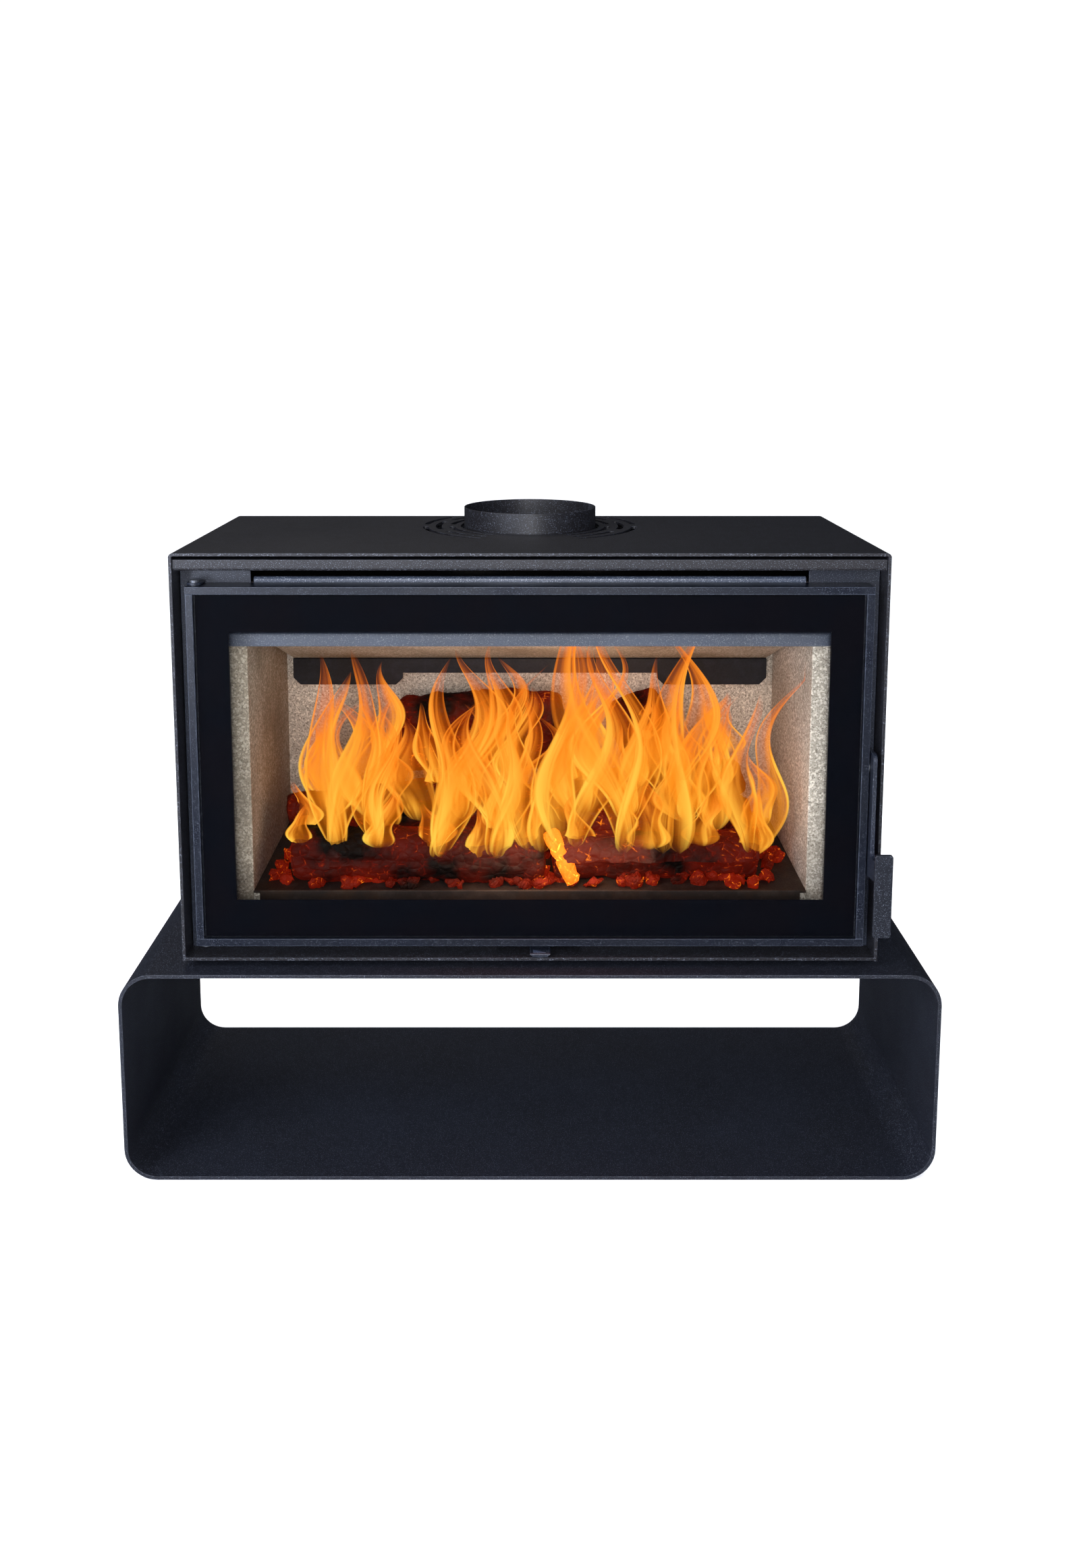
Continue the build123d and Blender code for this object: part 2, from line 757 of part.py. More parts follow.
riser_x = firebox_x + riser_width / 2
with BuildPart() as air_risers:
    for side in (-1, 1):
        with BuildSketch(Plane.XY.offset(firebox_low_z)):
            with Locations((side * riser_x, sum(riser_y) / 2)):
                Rectangle(riser_width, riser_depth)
                Rectangle(riser_width - 2 * duct_wall, riser_depth - 2 * duct_wall, mode=Mode.SUBTRACT)
        extrude(amount=riser_top_z - firebox_low_z)
        with BuildSketch(Plane.XY.offset(riser_top_z)):
            with Locations((side * riser_x, sum(riser_y) / 2)):
                Rectangle(riser_width, riser_depth)
        extrude(amount=-duct_wall)
        with BuildSketch(Plane.YZ.offset(side * firebox_x)):
            with Locations((sum(riser_y) / 2, sum(port_z) / 2)):
                Rectangle(riser_depth - 2 * port_margin, port_z[1] - port_z[0])
        extrude(amount=side * duct_wall, mode=Mode.SUBTRACT)
save(air_risers, "air_risers")

air_box_x = firebox_x + riser_width
air_box_y = body_back_y + air_box_depth / 2
with BuildPart() as air_box:
    with BuildSketch(Plane.XY.offset(air_box_z)):
        with Locations((0, air_box_y)):
            Rectangle(2 * air_box_x, air_box_depth)
    extrude(amount=firebox_low_z - air_box_z)
    with BuildSketch(Plane.XY.offset(air_box_z + duct_wall)):
        with Locations((0, air_box_y)):
            Rectangle(2 * (air_box_x - duct_wall), air_box_depth - 2 * duct_wall)
    extrude(amount=firebox_low_z - air_box_z - duct_wall, mode=Mode.SUBTRACT)
    with BuildSketch(Plane.XY.offset(air_box_z)):
        with Locations((0, air_box_y)):
            with GridLocations(valve_hole_pitch, 1, 2, 1):
                SlotOverall(valve_hole_length, valve_hole_width)
    extrude(amount=duct_wall, mode=Mode.SUBTRACT)
save(air_box, "air_box")

slider_y = (air_box_y - slider_depth / 2, air_box_y + slider_depth / 2)
guide_low_z = slider_z - slider_gap - guide_wall
with BuildPart() as slider_guides:
    reach_x = slider_length / 2 + slider_travel
    spans = (
        (-reach_x, tab_slot[0], -1),
        (tab_slot[1], reach_x, -1),
        (-reach_x, reach_x, 1),
    )
    for low_x, high_x, end in spans:
        edge_y = slider_y[0] if end < 0 else slider_y[1]
        wall_y = edge_y + end * slider_gap
        with BuildSketch(Plane.YZ.offset(low_x)):
            with BuildLine():
                Polyline(
                    (wall_y, air_box_z),
                    (wall_y + end * guide_wall, air_box_z),
                    (wall_y + end * guide_wall, guide_low_z),
                    (wall_y - end * guide_lip, guide_low_z),
                    (wall_y - end * guide_lip, guide_low_z + guide_wall),
                    (wall_y, guide_low_z + guide_wall),
                    close=True,
                )
            make_face()
        extrude(amount=high_x - low_x)
save(slider_guides, "slider_guides")

tab_front_y = front_y - tab_overhang
with BuildPart() as air_slider:
    with BuildSketch(Plane.XY.offset(slider_z)):
        with Locations((0, air_box_y)):
            Rectangle(slider_length, slider_depth)
        with Locations((tab_centre, (tab_front_y + slider_y[0]) / 2)):
            Rectangle(tab_width, slider_y[0] - tab_front_y)
        with Locations((valve_hole_length / 2, air_box_y)):
            with GridLocations(valve_hole_pitch, 1, 2, 1):
                SlotOverall(valve_hole_length, valve_hole_width, mode=Mode.SUBTRACT)
    extrude(amount=slider_wall)
    with BuildSketch(upright(tab_front_y + slider_wall)):
        with BuildLine():
            half = tab_width / 2
            low_z = slider_z + slider_wall - tab_lip
            Polyline(
                (tab_centre - half, slider_z + slider_wall),
                (tab_centre - half, low_z + tab_chamfer),
                (tab_centre - half + tab_chamfer, low_z),
                (tab_centre + half - tab_chamfer, low_z),
                (tab_centre + half, low_z + tab_chamfer),
                (tab_centre + half, slider_z + slider_wall),
                close=True,
            )
        make_face()
    extrude(amount=slider_wall)
    front_edge = air_slider.edges().filter_by(Axis.X).group_by(Axis.Y)[0].sort_by(Axis.Z)[-1]
    fillet(front_edge, slider_bend)
save(air_slider, "air_slider")

# ------------------------------------------------------------------ flue collar and its bolts
collar_low_z = firebox_top_z
collar_top_z = top_z + flue_rise
with BuildPart() as flue_collar:
    with BuildSketch(Plane.XY.offset(collar_low_z)):
        with Locations((0, flue_y)):
            Circle(flue_radius)
            Circle(flue_bore, mode=Mode.SUBTRACT)
    extrude(amount=collar_top_z - collar_low_z)
    with BuildSketch(Plane.XY.offset(collar_low_z)):
        with Locations((0, flue_y)):
            Circle(flue_radius + flange_width)
            Circle(flue_bore, mode=Mode.SUBTRACT)
        with Locations((0, firebox_back_y + flange_width)):
            Rectangle(4 * flue_radius, 2 * flange_width, mode=Mode.SUBTRACT)
        with Locations(*flange_bolt_places):
            Circle(flue_bolt_radius + touch_gap, mode=Mode.SUBTRACT)
    extrude(amount=flange_wall)
    rim = flue_collar.edges().group_by(Axis.Z)[-1]
    fillet(rim, flue_rim_round)
save(flue_collar, "flue_collar")

with BuildPart() as flue_bolts:
    with BuildSketch(Plane.XY.offset(collar_low_z + flange_wall)):
        with Locations(*flange_bolt_places):
            RegularPolygon(flue_bolt_across / 2, 6, major_radius=False)
    extrude(amount=flue_bolt_head)
    with BuildSketch(Plane.XY.offset(collar_low_z + flange_wall)):
        with Locations(*flange_bolt_places):
            Circle(flue_bolt_radius)
    extrude(amount=-(flange_wall + firebox_wall + flue_bolt_tip))
save(flue_bolts, "flue_bolts")

# ------------------------------------------------------------------ door frame
for name, low_z in (("door_bottom_rail", door_low_z), ("door_top_rail", door_top_z - door_bar)):
    with BuildPart() as door_rail:
        with BuildSketch(Plane.XY.offset(low_z)):
            with Locations((0, front_y + door_depth / 2)):
                Rectangle(2 * door_x, door_depth)
            with Locations((hinge_x, hinge_y)):
                Circle(hinge_pin_radius + hinge_pin_gap, mode=Mode.SUBTRACT)
        extrude(amount=door_bar)
        outer_corners = door_rail.edges().filter_by(Axis.Z).filter_by(GeomType.LINE)
        fillet(outer_corners.group_by(Axis.Y)[-1], door_back_corner)
    save(door_rail, name)

for name, side in (("door_left_stile", -1), ("door_right_stile", 1)):
    with BuildPart() as door_stile:
        with BuildSketch(Plane.XY.offset(door_low_z + door_bar)):
            with Locations((side * (door_x - door_bar / 2), front_y + door_depth / 2)):
                Rectangle(door_bar, door_depth)
        extrude(amount=door_top_z - door_low_z - 2 * door_bar)
        back_edges = door_stile.edges().filter_by(Axis.Z).group_by(Axis.Y)[-1]
        fillet(back_edges.sort_by(Axis.X)[0 if side < 0 else -1], door_back_corner)
        if side > 0:
            with BuildSketch(Plane.YZ.offset(door_x)):
                with Locations((front_y + pivot_y, base_z + pivot_z)):
                    Circle(pivot_radius + pivot_gap)
            extrude(amount=-door_bar, mode=Mode.SUBTRACT)
    save(door_stile, name)

glass_x = door_x - door_bar - glass_play
glass_z = (door_low_z + door_bar + glass_play, door_top_z - door_bar - glass_play)
with BuildPart() as door_glass:
    with BuildSketch(upright(gasket_y)):
        with Locations((0, sum(glass_z) / 2)):
            RectangleRounded(2 * glass_x, glass_z[1] - glass_z[0], glass_corner)
    extrude(amount=glass_wall)
    chamfer(door_glass.faces().sort_by(Axis.Y)[0].edges(), glass_chamfer)
save(door_glass, "door_glass")

with BuildPart() as glass_gasket:
    with BuildSketch(upright(backing_y)):
        frame_sketch(
            glass_x - gasket_edge,
            glass_z[0] + gasket_edge,
            glass_z[1] - gasket_edge,
            gasket_width,
        )
    extrude(amount=gasket_wall)
save(glass_gasket, "glass_gasket")

with BuildPart() as door_backing:
    with BuildSketch(upright(channel_y)):
        frame_sketch(door_x - door_bar, door_low_z + door_bar, door_top_z - door_bar, backing_width)
    extrude(amount=backing_wall)
save(door_backing, "door_backing")

groove_half = rope_radius + rope_side_play
channel_half = groove_half + channel_wall
with BuildPart() as rope_channel:
    with BuildSketch(upright(channel_y + channel_depth)):
        frame_sketch(
            rope_x + channel_half,
            rope_low_z - channel_half,
            rope_top_z + channel_half,
            2 * channel_half,
            channel_corner + channel_half,
        )
    extrude(amount=channel_depth)
    seat_y = rope_y - rope_radius - touch_gap
    for start_y, depth in (
        (channel_y + channel_depth, channel_y + channel_depth - seat_y),
        (seat_y - channel_wall, seat_y - channel_wall - channel_y),
    ):
        with BuildSketch(upright(start_y)):
            frame_sketch(
                rope_x + groove_half,
                rope_low_z - groove_half,
                rope_top_z + groove_half,
                2 * groove_half,
                channel_corner + groove_half,
            )
        extrude(amount=depth, mode=Mode.SUBTRACT)
save(rope_channel, "rope_channel")

with BuildPart() as seal_rope:
    with BuildLine(upright(rope_y)) as rope_path:
        FilletPolyline(
            (-rope_x, rope_low_z),
            (rope_x, rope_low_z),
            (rope_x, rope_top_z),
            (-rope_x, rope_top_z),
            radius=channel_corner,
            close=True,
        )
    with BuildSketch(Plane(origin=rope_path.line @ 0, z_dir=rope_path.line % 0)):
        Circle(rope_radius)
    sweep(path=rope_path.line)
save(seal_rope, "seal_rope")

# ------------------------------------------------------------------ hinges
lower_bracket_top = door_low_z - hinge_washer - 2 * touch_gap
upper_bracket_low = door_top_z + hinge_washer + 2 * touch_gap
for name, low_z in (
    ("lower_hinge_bracket", lower_bracket_top - hinge_bracket_wall),
    ("upper_hinge_bracket", upper_bracket_low),
):
    with BuildPart() as hinge_bracket:
        with BuildSketch(Plane.XY.offset(low_z)):
            with Locations((hinge_x, hinge_y)):
                Circle(hinge_bracket_radius)
            with Locations((hinge_x, (hinge_y + body_y) / 2)):
                Rectangle(2 * hinge_bracket_radius, body_y - hinge_y)
            with Locations((hinge_x, hinge_y)):
                Circle(hinge_pin_radius + hinge_pin_gap, mode=Mode.SUBTRACT)
        extrude(amount=hinge_bracket_wall)
    save(hinge_bracket, name)

with BuildPart() as hinge_pins:
    lower_pin_low = lower_bracket_top - hinge_bracket_wall
    upper_pin_top = upper_bracket_low + hinge_bracket_wall
    for start_z, reach in (
        (lower_pin_low, door_low_z + door_bar - hinge_pin_tip - lower_pin_low),
        (upper_pin_top, door_top_z - door_bar + hinge_pin_tip - upper_pin_top),
    ):
        with BuildSketch(Plane.XY.offset(start_z)):
            with Locations((hinge_x, hinge_y)):
                Circle(hinge_pin_radius)
        extrude(amount=reach)
        with BuildSketch(Plane.XY.offset(start_z)):
            with Locations((hinge_x, hinge_y)):
                Circle(hinge_head_radius)
        extrude(amount=-hinge_head if reach > 0 else hinge_head)
save(hinge_pins, "hinge_pins")

with BuildPart() as hinge_washers:
    for low_z in (door_low_z - hinge_washer - touch_gap, door_top_z + touch_gap):
        with BuildSketch(Plane.XY.offset(low_z)):
            with Locations((hinge_x, hinge_y)):
                Circle(hinge_bracket_radius - hinge_washer_inset)
                Circle(hinge_pin_radius + hinge_pin_gap, mode=Mode.SUBTRACT)
        extrude(amount=hinge_washer)
save(hinge_washers, "hinge_washers")

# ------------------------------------------------------------------ handle, its pivot and the striker
pivot_place = (front_y + pivot_y, base_z + pivot_z)
nose_top = striker_z - striker_radius - nose_gap
finger_top = nose_top - nose_step
nose_front = striker_y + striker_radius + nose_set
lever_outline = [
    (lever_reach, lever_arm_low),
    (lever_reach, lever_arm_top),
    (lever_front, lever_arm_top),
    (lever_front, lever_top),
    (lever_back, lever_top),
    (lever_back, finger_top),
    (nose_front, finger_top),
    (nose_front, nose_top),
    (nose_front + nose_width, nose_top),
    (nose_front + nose_width, finger_top - finger_height),
    (lever_back, finger_top - finger_height),
    (lever_back, lever_heel),
]
with BuildPart() as handle_lever:
    with BuildSketch(Plane.YZ.offset(lever_x)):
        with BuildLine():
            Polyline(*[(y + front_y, z + base_z) for y, z in lever_outline], close=True)
        make_face()
        with Locations(pivot_place):
            Circle(pivot_radius + pivot_gap, mode=Mode.SUBTRACT)
    extrude(amount=lever_wall)
    crossing_edges = handle_lever.edges().filter_by(Axis.X)
    bends = crossing_edges.filter_by_position(
        Axis.Y, front_y + lever_front - touch_gap, front_y + lever_front + touch_gap
    )
    heel = crossing_edges.filter_by_position(
        Axis.Z, base_z + lever_heel - touch_gap, base_z + lever_heel + touch_gap
    )
    fillet(bends + heel, lever_radius)
save(handle_lever, "handle_lever")

grip_x = lever_x - grip_offset
with BuildPart() as handle_grip:
    with BuildSketch(upright(front_y + lever_reach)):
        with Locations((grip_x + grip_width / 2, base_z + (grip_low + grip_high) / 2)):
            RectangleRounded(grip_width, grip_high - grip_low, grip_corner)
    extrude(amount=grip_wall)
    chamfer(handle_grip.faces().sort_by(Axis.Y)[0].edges(), grip_chamfer)
save(handle_grip, "handle_grip")

with BuildPart() as pivot_washer:
    with BuildSketch(Plane.YZ.offset(door_x)):
        with Locations(pivot_place):
            Circle(2 * pivot_radius)
            Circle(pivot_radius + pivot_gap, mode=Mode.SUBTRACT)
    extrude(amount=lever_from_door - pivot_play)
save(pivot_washer, "pivot_washer")

with BuildPart() as pivot_pin:
    head_x = lever_x + lever_wall + pivot_play
    with BuildSketch(Plane.YZ.offset(head_x)):
        with Locations(pivot_place):
            Circle(pivot_radius)
    extrude(amount=-(head_x - door_x + door_bar - pivot_pin_tip))
    with BuildSketch(Plane.YZ.offset(head_x)):
        with Locations(pivot_place):
            Circle(pivot_head_radius)
    extrude(amount=pivot_head)
    chamfer(pivot_pin.faces().sort_by(Axis.X)[-1].edges(), pivot_chamfer)
save(pivot_pin, "pivot_pin")

striker_place = (front_y + striker_y, base_z + striker_z)
striker_bracket_x = lever_x + lever_wall + 2 * pivot_play + pivot_head
with BuildPart() as striker_bracket:
    with BuildSketch(Plane.YZ.offset(striker_bracket_x)):
        with Locations(striker_place):
            Circle(2 * striker_radius)
        with Locations(((striker_place[0] + body_y) / 2, striker_place[1])):
            Rectangle(body_y - striker_place[0], 4 * striker_radius)
        with Locations(striker_place):
            Circle(striker_radius + touch_gap, mode=Mode.SUBTRACT)
    extrude(amount=striker_bracket_wall)
save(striker_bracket, "striker_bracket")

with BuildPart() as striker_pin:
    with BuildSketch(Plane.YZ.offset(lever_x - pivot_play)):
        with Locations(striker_place):
            Circle(striker_radius)
    extrude(amount=striker_bracket_x + striker_bracket_wall - lever_x + pivot_play)
save(striker_pin, "striker_pin")
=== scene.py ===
"""The looks of a wide wood burning stove on a log-store stand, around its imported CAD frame.

All sizes are metres in the row's frame: +X to the right of a person who faces the door, +Y from the
door to the back, +Z up, the origin on the floor under the stand. Millimetre values end in _mm.
"""

import logging
import math
import random
from dataclasses import dataclass
from enum import Enum
from typing import Any

import bmesh
import bpy
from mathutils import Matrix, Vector, noise


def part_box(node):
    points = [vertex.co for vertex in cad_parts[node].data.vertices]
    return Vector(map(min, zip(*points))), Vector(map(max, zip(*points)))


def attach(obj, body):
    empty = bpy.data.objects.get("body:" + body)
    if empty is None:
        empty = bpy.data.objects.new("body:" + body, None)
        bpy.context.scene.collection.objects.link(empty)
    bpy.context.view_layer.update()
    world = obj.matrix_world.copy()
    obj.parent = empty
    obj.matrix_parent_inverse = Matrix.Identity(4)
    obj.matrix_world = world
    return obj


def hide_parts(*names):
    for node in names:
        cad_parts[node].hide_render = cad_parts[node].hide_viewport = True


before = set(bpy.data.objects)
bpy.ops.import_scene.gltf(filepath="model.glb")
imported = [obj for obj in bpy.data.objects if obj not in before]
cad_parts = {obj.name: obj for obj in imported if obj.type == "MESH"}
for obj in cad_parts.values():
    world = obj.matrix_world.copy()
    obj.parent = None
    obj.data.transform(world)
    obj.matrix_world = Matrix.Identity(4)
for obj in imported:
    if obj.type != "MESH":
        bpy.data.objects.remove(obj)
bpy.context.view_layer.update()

log = logging.getLogger("stove")
MM = 0.001
A, B = 6, 7  # the two colour inputs of a Mix node
FLAME_MAP = "flame"
Sockets = dict[str | int, Any]


# ------------------------------------------------------------------ small helpers
def linear(colour: str) -> tuple[float, float, float, float]:
    """Turns an sRGB hex colour to linear RGBA.

    Args:
        colour: the colour as "#rrggbb".

    Returns:
        Red, green, blue and an alpha of one.
    """
    toe, slope, lift, power = 0.04045, 12.92, 0.055, 2.4  # the sRGB curve
    channels = [int(colour[i : i + 2], 16) / 255 for i in (1, 3, 5)]
    red, green, blue = (c / slope if c <= toe else ((c + lift) / (1 + lift)) ** power for c in channels)
    return red, green, blue, 1.0


def put(tree: bpy.types.NodeTree, kind: str, sockets: Sockets | None = None,
        **settings: Any) -> bpy.types.Node:
    """Adds one node with its settings, values and links.

    Args:
        tree: the shader or geometry tree that gets the node.
        kind: the node's type name.
        sockets: what goes into its inputs by name or index: a value, a colour as "#rrggbb", another
            node's output, or another node, which stands for its first output in use.
        settings: the node's own properties.

    Returns:
        The new node.
    """
    node = tree.nodes.new(kind)
    for name, value in settings.items():
        setattr(node, name, value)
    for key, value in (sockets or {}).items():
        if isinstance(value, bpy.types.Node):
            value = next(output for output in value.outputs if output.enabled)
        if isinstance(value, bpy.types.NodeSocket):
            tree.links.new(value, node.inputs[key])
        elif isinstance(value, str) and value.startswith("#"):
            node.inputs[key].default_value = linear(value)
        else:
            node.inputs[key].default_value = value
    return node


def add_object(name: str, mesh: bpy.types.Mesh) -> bpy.types.Object:
    """Links a new object that holds a mesh.

    Args:
        name: the piece's name.
        mesh: its mesh, in place in the row's frame.

    Returns:
        The object, at the origin.
    """
    piece = bpy.data.objects.new(name, mesh)
    bpy.context.scene.collection.objects.link(piece)
    return piece


def mesh_of(name: str, shape: bmesh.types.BMesh, smooth_angle: float = 30.0) -> bpy.types.Mesh:
    """Makes a mesh of a bmesh, and frees the bmesh.

    Args:
        name: the mesh's name.
        shape: the bmesh.
        smooth_angle: edges that turn more than this, in degrees, stay sharp.

    Returns:
        The mesh, shaded smooth.
    """
    mesh = bpy.data.meshes.new(name)
    shape.to_mesh(mesh)
    shape.free()
    mesh.shade_smooth()
    mesh.set_sharp_from_angle(angle=math.radians(smooth_angle))
    return mesh


def bridge(shape: bmesh.types.BMesh, first: list[bmesh.types.BMVert],
           second: list[bmesh.types.BMVert]) -> None:
    """Joins two closed rings with faces.

    Args:
        shape: the bmesh.
        first: one ring.
        second: the other ring, with as many points.
    """
    for step in range(len(first)):
        ahead = (step + 1) % len(first)
        shape.faces.new((first[step], first[ahead], second[ahead], second[step]))


def plain_copy(source: bpy.types.Object, name: str) -> bpy.types.Object:
    """Turns an object with live modifiers to a plain mesh, and removes the object.

    Args:
        source: the object.
        name: the new piece's name.

    Returns:
        The new object, with the evaluated mesh and no modifiers.
    """
    depsgraph = bpy.context.evaluated_depsgraph_get()
    mesh = bpy.data.meshes.new_from_object(source.evaluated_get(depsgraph), depsgraph=depsgraph)
    bpy.data.objects.remove(source)
    mesh.name = name
    return add_object(name, mesh)


class Body(Enum):
    """The CAD bodies that pieces ride on."""

    STOVE = "stove"
    DOOR = "door"
    HANDLE = "handle"
    SLIDER = "air_slider"


class Slot(Enum):
    """The record's material slots."""

    PAINT = "graphite_paint"
    DOOR_PAINT = "door_paint"
    FIREBOX = "firebox_steel"
    GLASS = "ceramic_glass"
    FIBRE = "seal_fibre"
    ZINC = "zinc_steel"


# ------------------------------------------------------------------ finishes
def per_metre(size_mm: float) -> float:
    """Returns the scale of a texture whose patches are so many millimetres apart."""
    return 1 / (size_mm * MM)


@dataclass(frozen=True)
class Finish:
    """A surface finish that makes one material, the first time it is asked for."""

    name: str

    def material(self) -> bpy.types.Material:
        """Returns the finish's material, and makes it if it isn't there."""
        made = bpy.data.materials.get(self.name)
        if made is None:
            made = bpy.data.materials.new(self.name)
            made.use_nodes = True
            made.node_tree.nodes.clear()
            put(made.node_tree, "ShaderNodeOutputMaterial", {"Surface": self.surface(made.node_tree)})
        return made

    def surface(self, tree: bpy.types.NodeTree) -> bpy.types.Node:
        """Makes the nodes.

        Args:
            tree: the material's empty tree.

        Returns:
            The shader node.
        """
        raise NotImplementedError

    def edges(self, tree: bpy.types.NodeTree, reach_mm: float) -> tuple[bpy.types.Node, bpy.types.Node]:
        """Finds the piece's outer edges.

        Args:
            tree: the material's tree.
            reach_mm: how far from an edge the mask reaches.

        Returns:
            A mask that is one on an edge, and the normal rounded over the edges.
        """
        rounded = put(tree, "ShaderNodeBevel", {"Radius": reach_mm * MM}, samples=4)
        flat = put(tree, "ShaderNodeNewGeometry").outputs["True Normal"]
        same = put(tree, "ShaderNodeVectorMath", {0: rounded, 1: flat}, operation="DOT_PRODUCT")
        turned = put(tree, "ShaderNodeMapRange", {0: same.outputs["Value"], 1: 0.99, 2: 0.88})
        return turned, rounded


@dataclass(frozen=True)
class SprayedPaint(Finish):
    """Heat-proof silicone paint, sprayed on steel plate and baked.

    The eye gets a satin, nearly black coat with slow cloudy changes, a fine orange peel, sparse
    metallic flecks and edges that are lighter, partly rubbed wear and partly a painted highlight
    along the edges. The flecks are drawn coarser than real ones, so that they show.
    """

    colour: str
    patch: str
    edge: str = "#5d626d"
    fleck: str = "#8b93a3"
    roughness: float = 0.46
    fleck_share: float = 0.35
    cloud_mm: float = 160.0
    peel_mm: float = 1.6
    peel_depth_mm: float = 0.05
    fleck_mm: float = 1.3
    chip_mm: float = 9.0
    least_wear_and_edge_highlight: float = 0.15
    edge_mm: float = 0.9

    def surface(self, tree: bpy.types.NodeTree) -> bpy.types.Node:
        """Makes clouds, flecks, orange peel, and lighter edges that are partly rubbed wear and partly
        painted highlight.
        """
        place = put(tree, "ShaderNodeTexCoord").outputs["Object"]
        clouds, peel, flecks, chips = (
            put(tree, "ShaderNodeTexNoise", {"Vector": place, "Scale": per_metre(size), "Detail": detail})
            for size, detail in ((self.cloud_mm, 3.0), (self.peel_mm, 1.0), (self.fleck_mm, 0.0),
                                 (self.chip_mm, 4.0)))
        edge, rounded = self.edges(tree, self.edge_mm)
        cloud, glint, chip, matt = (put(tree, "ShaderNodeMapRange", sockets) for sockets in (
            {0: clouds, 1: 0.35, 2: 0.65},
            {0: flecks, 1: 0.62, 2: 0.78, 4: self.fleck_share},
            {0: chips, 1: 0.42, 2: 0.62, 3: self.least_wear_and_edge_highlight, 4: 0.8},
            {0: clouds, 1: 0.3, 2: 0.7, 3: self.roughness - 0.05, 4: self.roughness + 0.06}))
        # painted highlight: the edges are mixed towards the lighter edge colour, partly rubbed wear and
        # partly a highlight painted along them
        worn_and_highlit_edge = put(tree, "ShaderNodeMath", {0: edge, 1: chip}, operation="MULTIPLY")
        coat = self.colour
        for mask, over in ((cloud, self.patch), (glint, self.fleck), (worn_and_highlit_edge, self.edge)):
            coat = put(tree, "ShaderNodeMix", {0: mask, A: coat, B: over}, data_type="RGBA")
        bump = put(tree, "ShaderNodeBump", {
            "Height": peel, "Distance": self.peel_depth_mm * MM, "Strength": 0.6, "Normal": rounded})
        return put(tree, "ShaderNodeBsdfPrincipled", {
            "Base Color": coat, "Roughness": matt, "Normal": bump})


@dataclass(frozen=True)
class HeatedSteel(Finish):
    """Mild steel plate of the firebox, oxidised by heat and dusted with soot and ash.

    The eye gets a dull brown-black plate with a few rusty patches and a thin grey veil of ash.
    """

    colour: str = "#26211f"
    rust: str = "#3a2a22"
    ash: str = "#5f5853"
    ash_share: float = 0.3
    roughness: float = 0.62
    patch_mm: float = 45.0
    scale_mm: float = 3.0
    veil_mm: float = 14.0
    scale_depth_mm: float = 0.12

    def surface(self, tree: bpy.types.NodeTree) -> bpy.types.Node:
        """Makes scale, rust patches and an ash veil."""
        place = put(tree, "ShaderNodeTexCoord").outputs["Object"]
        patches, scale, veils = (
            put(tree, "ShaderNodeTexNoise", {"Vector": place, "Scale": per_metre(size), "Detail": detail})
            for size, detail in ((self.patch_mm, 5.0), (self.scale_mm, 3.0), (self.veil_mm, 6.0)))
        edge, rounded = self.edges(tree, 1.0)
        rusty = put(tree, "ShaderNodeMapRange", {0: patches, 1: 0.45, 2: 0.7})
        dusty = put(tree, "ShaderNodeMapRange", {0: veils, 1: 0.5, 2: 0.75, 4: self.ash_share})
        rubbed = put(tree, "ShaderNodeMath", {0: edge, 1: 0.5}, operation="MULTIPLY")
        plate = self.colour
        for mask, over in ((rusty, self.rust), (dusty, self.ash), (rubbed, self.ash)):
            plate = put(tree, "ShaderNodeMix", {0: mask, A: plate, B: over}, data_type="RGBA")
        matt = put(tree, "ShaderNodeMapRange", {
            0: scale, 1: 0.3, 2: 0.7, 3: self.roughness - 0.08, 4: self.roughness + 0.1})
        bump = put(tree, "ShaderNodeBump", {
            "Height": scale, "Distance": self.scale_depth_mm * MM, "Normal": rounded})
        return put(tree, "ShaderNodeBsdfPrincipled", {
            "Base Color": plate, "Roughness": matt, "Metallic": 0.35, "Normal": bump})


@dataclass(frozen=True)
class PressedBoard(Finish):
    """Vermiculite board, pressed from heat-swollen mineral flakes.

    The eye gets a warm grey board full of pale and dark flakes 1 to 4 mm wide, with a pitted matt
    face and a light stain of smoke.
    """

    colour: str = "#b9b5b0"
    pale: str = "#f6f4f1"
    dark: str = "#6a645e"
    smoke: str = "#7a746c"
    smoke_share: float = 0.35
    flake_mm: float = 2.6
    speck_mm: float = 1.7
    stain_mm: float = 120.0
    pit_mm: float = 0.5

    def surface(self, tree: bpy.types.NodeTree) -> bpy.types.Node:
        """Makes flakes, specks, pits and smoke."""
        place = put(tree, "ShaderNodeTexCoord").outputs["Object"]
        cells = [put(tree, "ShaderNodeTexVoronoi", {"Vector": place, "Scale": per_metre(size)})
                 for size in (self.flake_mm, self.speck_mm)]
        flakes, specks = (
            put(tree, "ShaderNodeRGBToBW", {"Color": cell.outputs["Color"]}) for cell in cells)
        stains = put(tree, "ShaderNodeTexNoise", {
            "Vector": place, "Scale": per_metre(self.stain_mm), "Detail": 4.0})
        _, rounded = self.edges(tree, 1.2)
        flake, speck, smoky, matt = (put(tree, "ShaderNodeMapRange", sockets) for sockets in (
            {0: flakes, 1: 0.45, 2: 0.8},
            {0: specks, 1: 0.6, 2: 0.85, 4: 0.75},
            {0: stains, 1: 0.42, 2: 0.68, 4: self.smoke_share},
            {0: specks, 1: 0.3, 2: 0.7, 3: 0.85, 4: 0.95}))
        face = self.colour
        for mask, over in ((flake, self.pale), (speck, self.dark), (smoky, self.smoke)):
            face = put(tree, "ShaderNodeMix", {0: mask, A: face, B: over}, data_type="RGBA")
        bump = put(tree, "ShaderNodeBump", {
            "Height": flakes, "Distance": self.pit_mm * MM, "Strength": 0.7, "Normal": rounded})
        return put(tree, "ShaderNodeBsdfPrincipled", {
            "Base Color": face, "Roughness": matt, "Normal": bump})


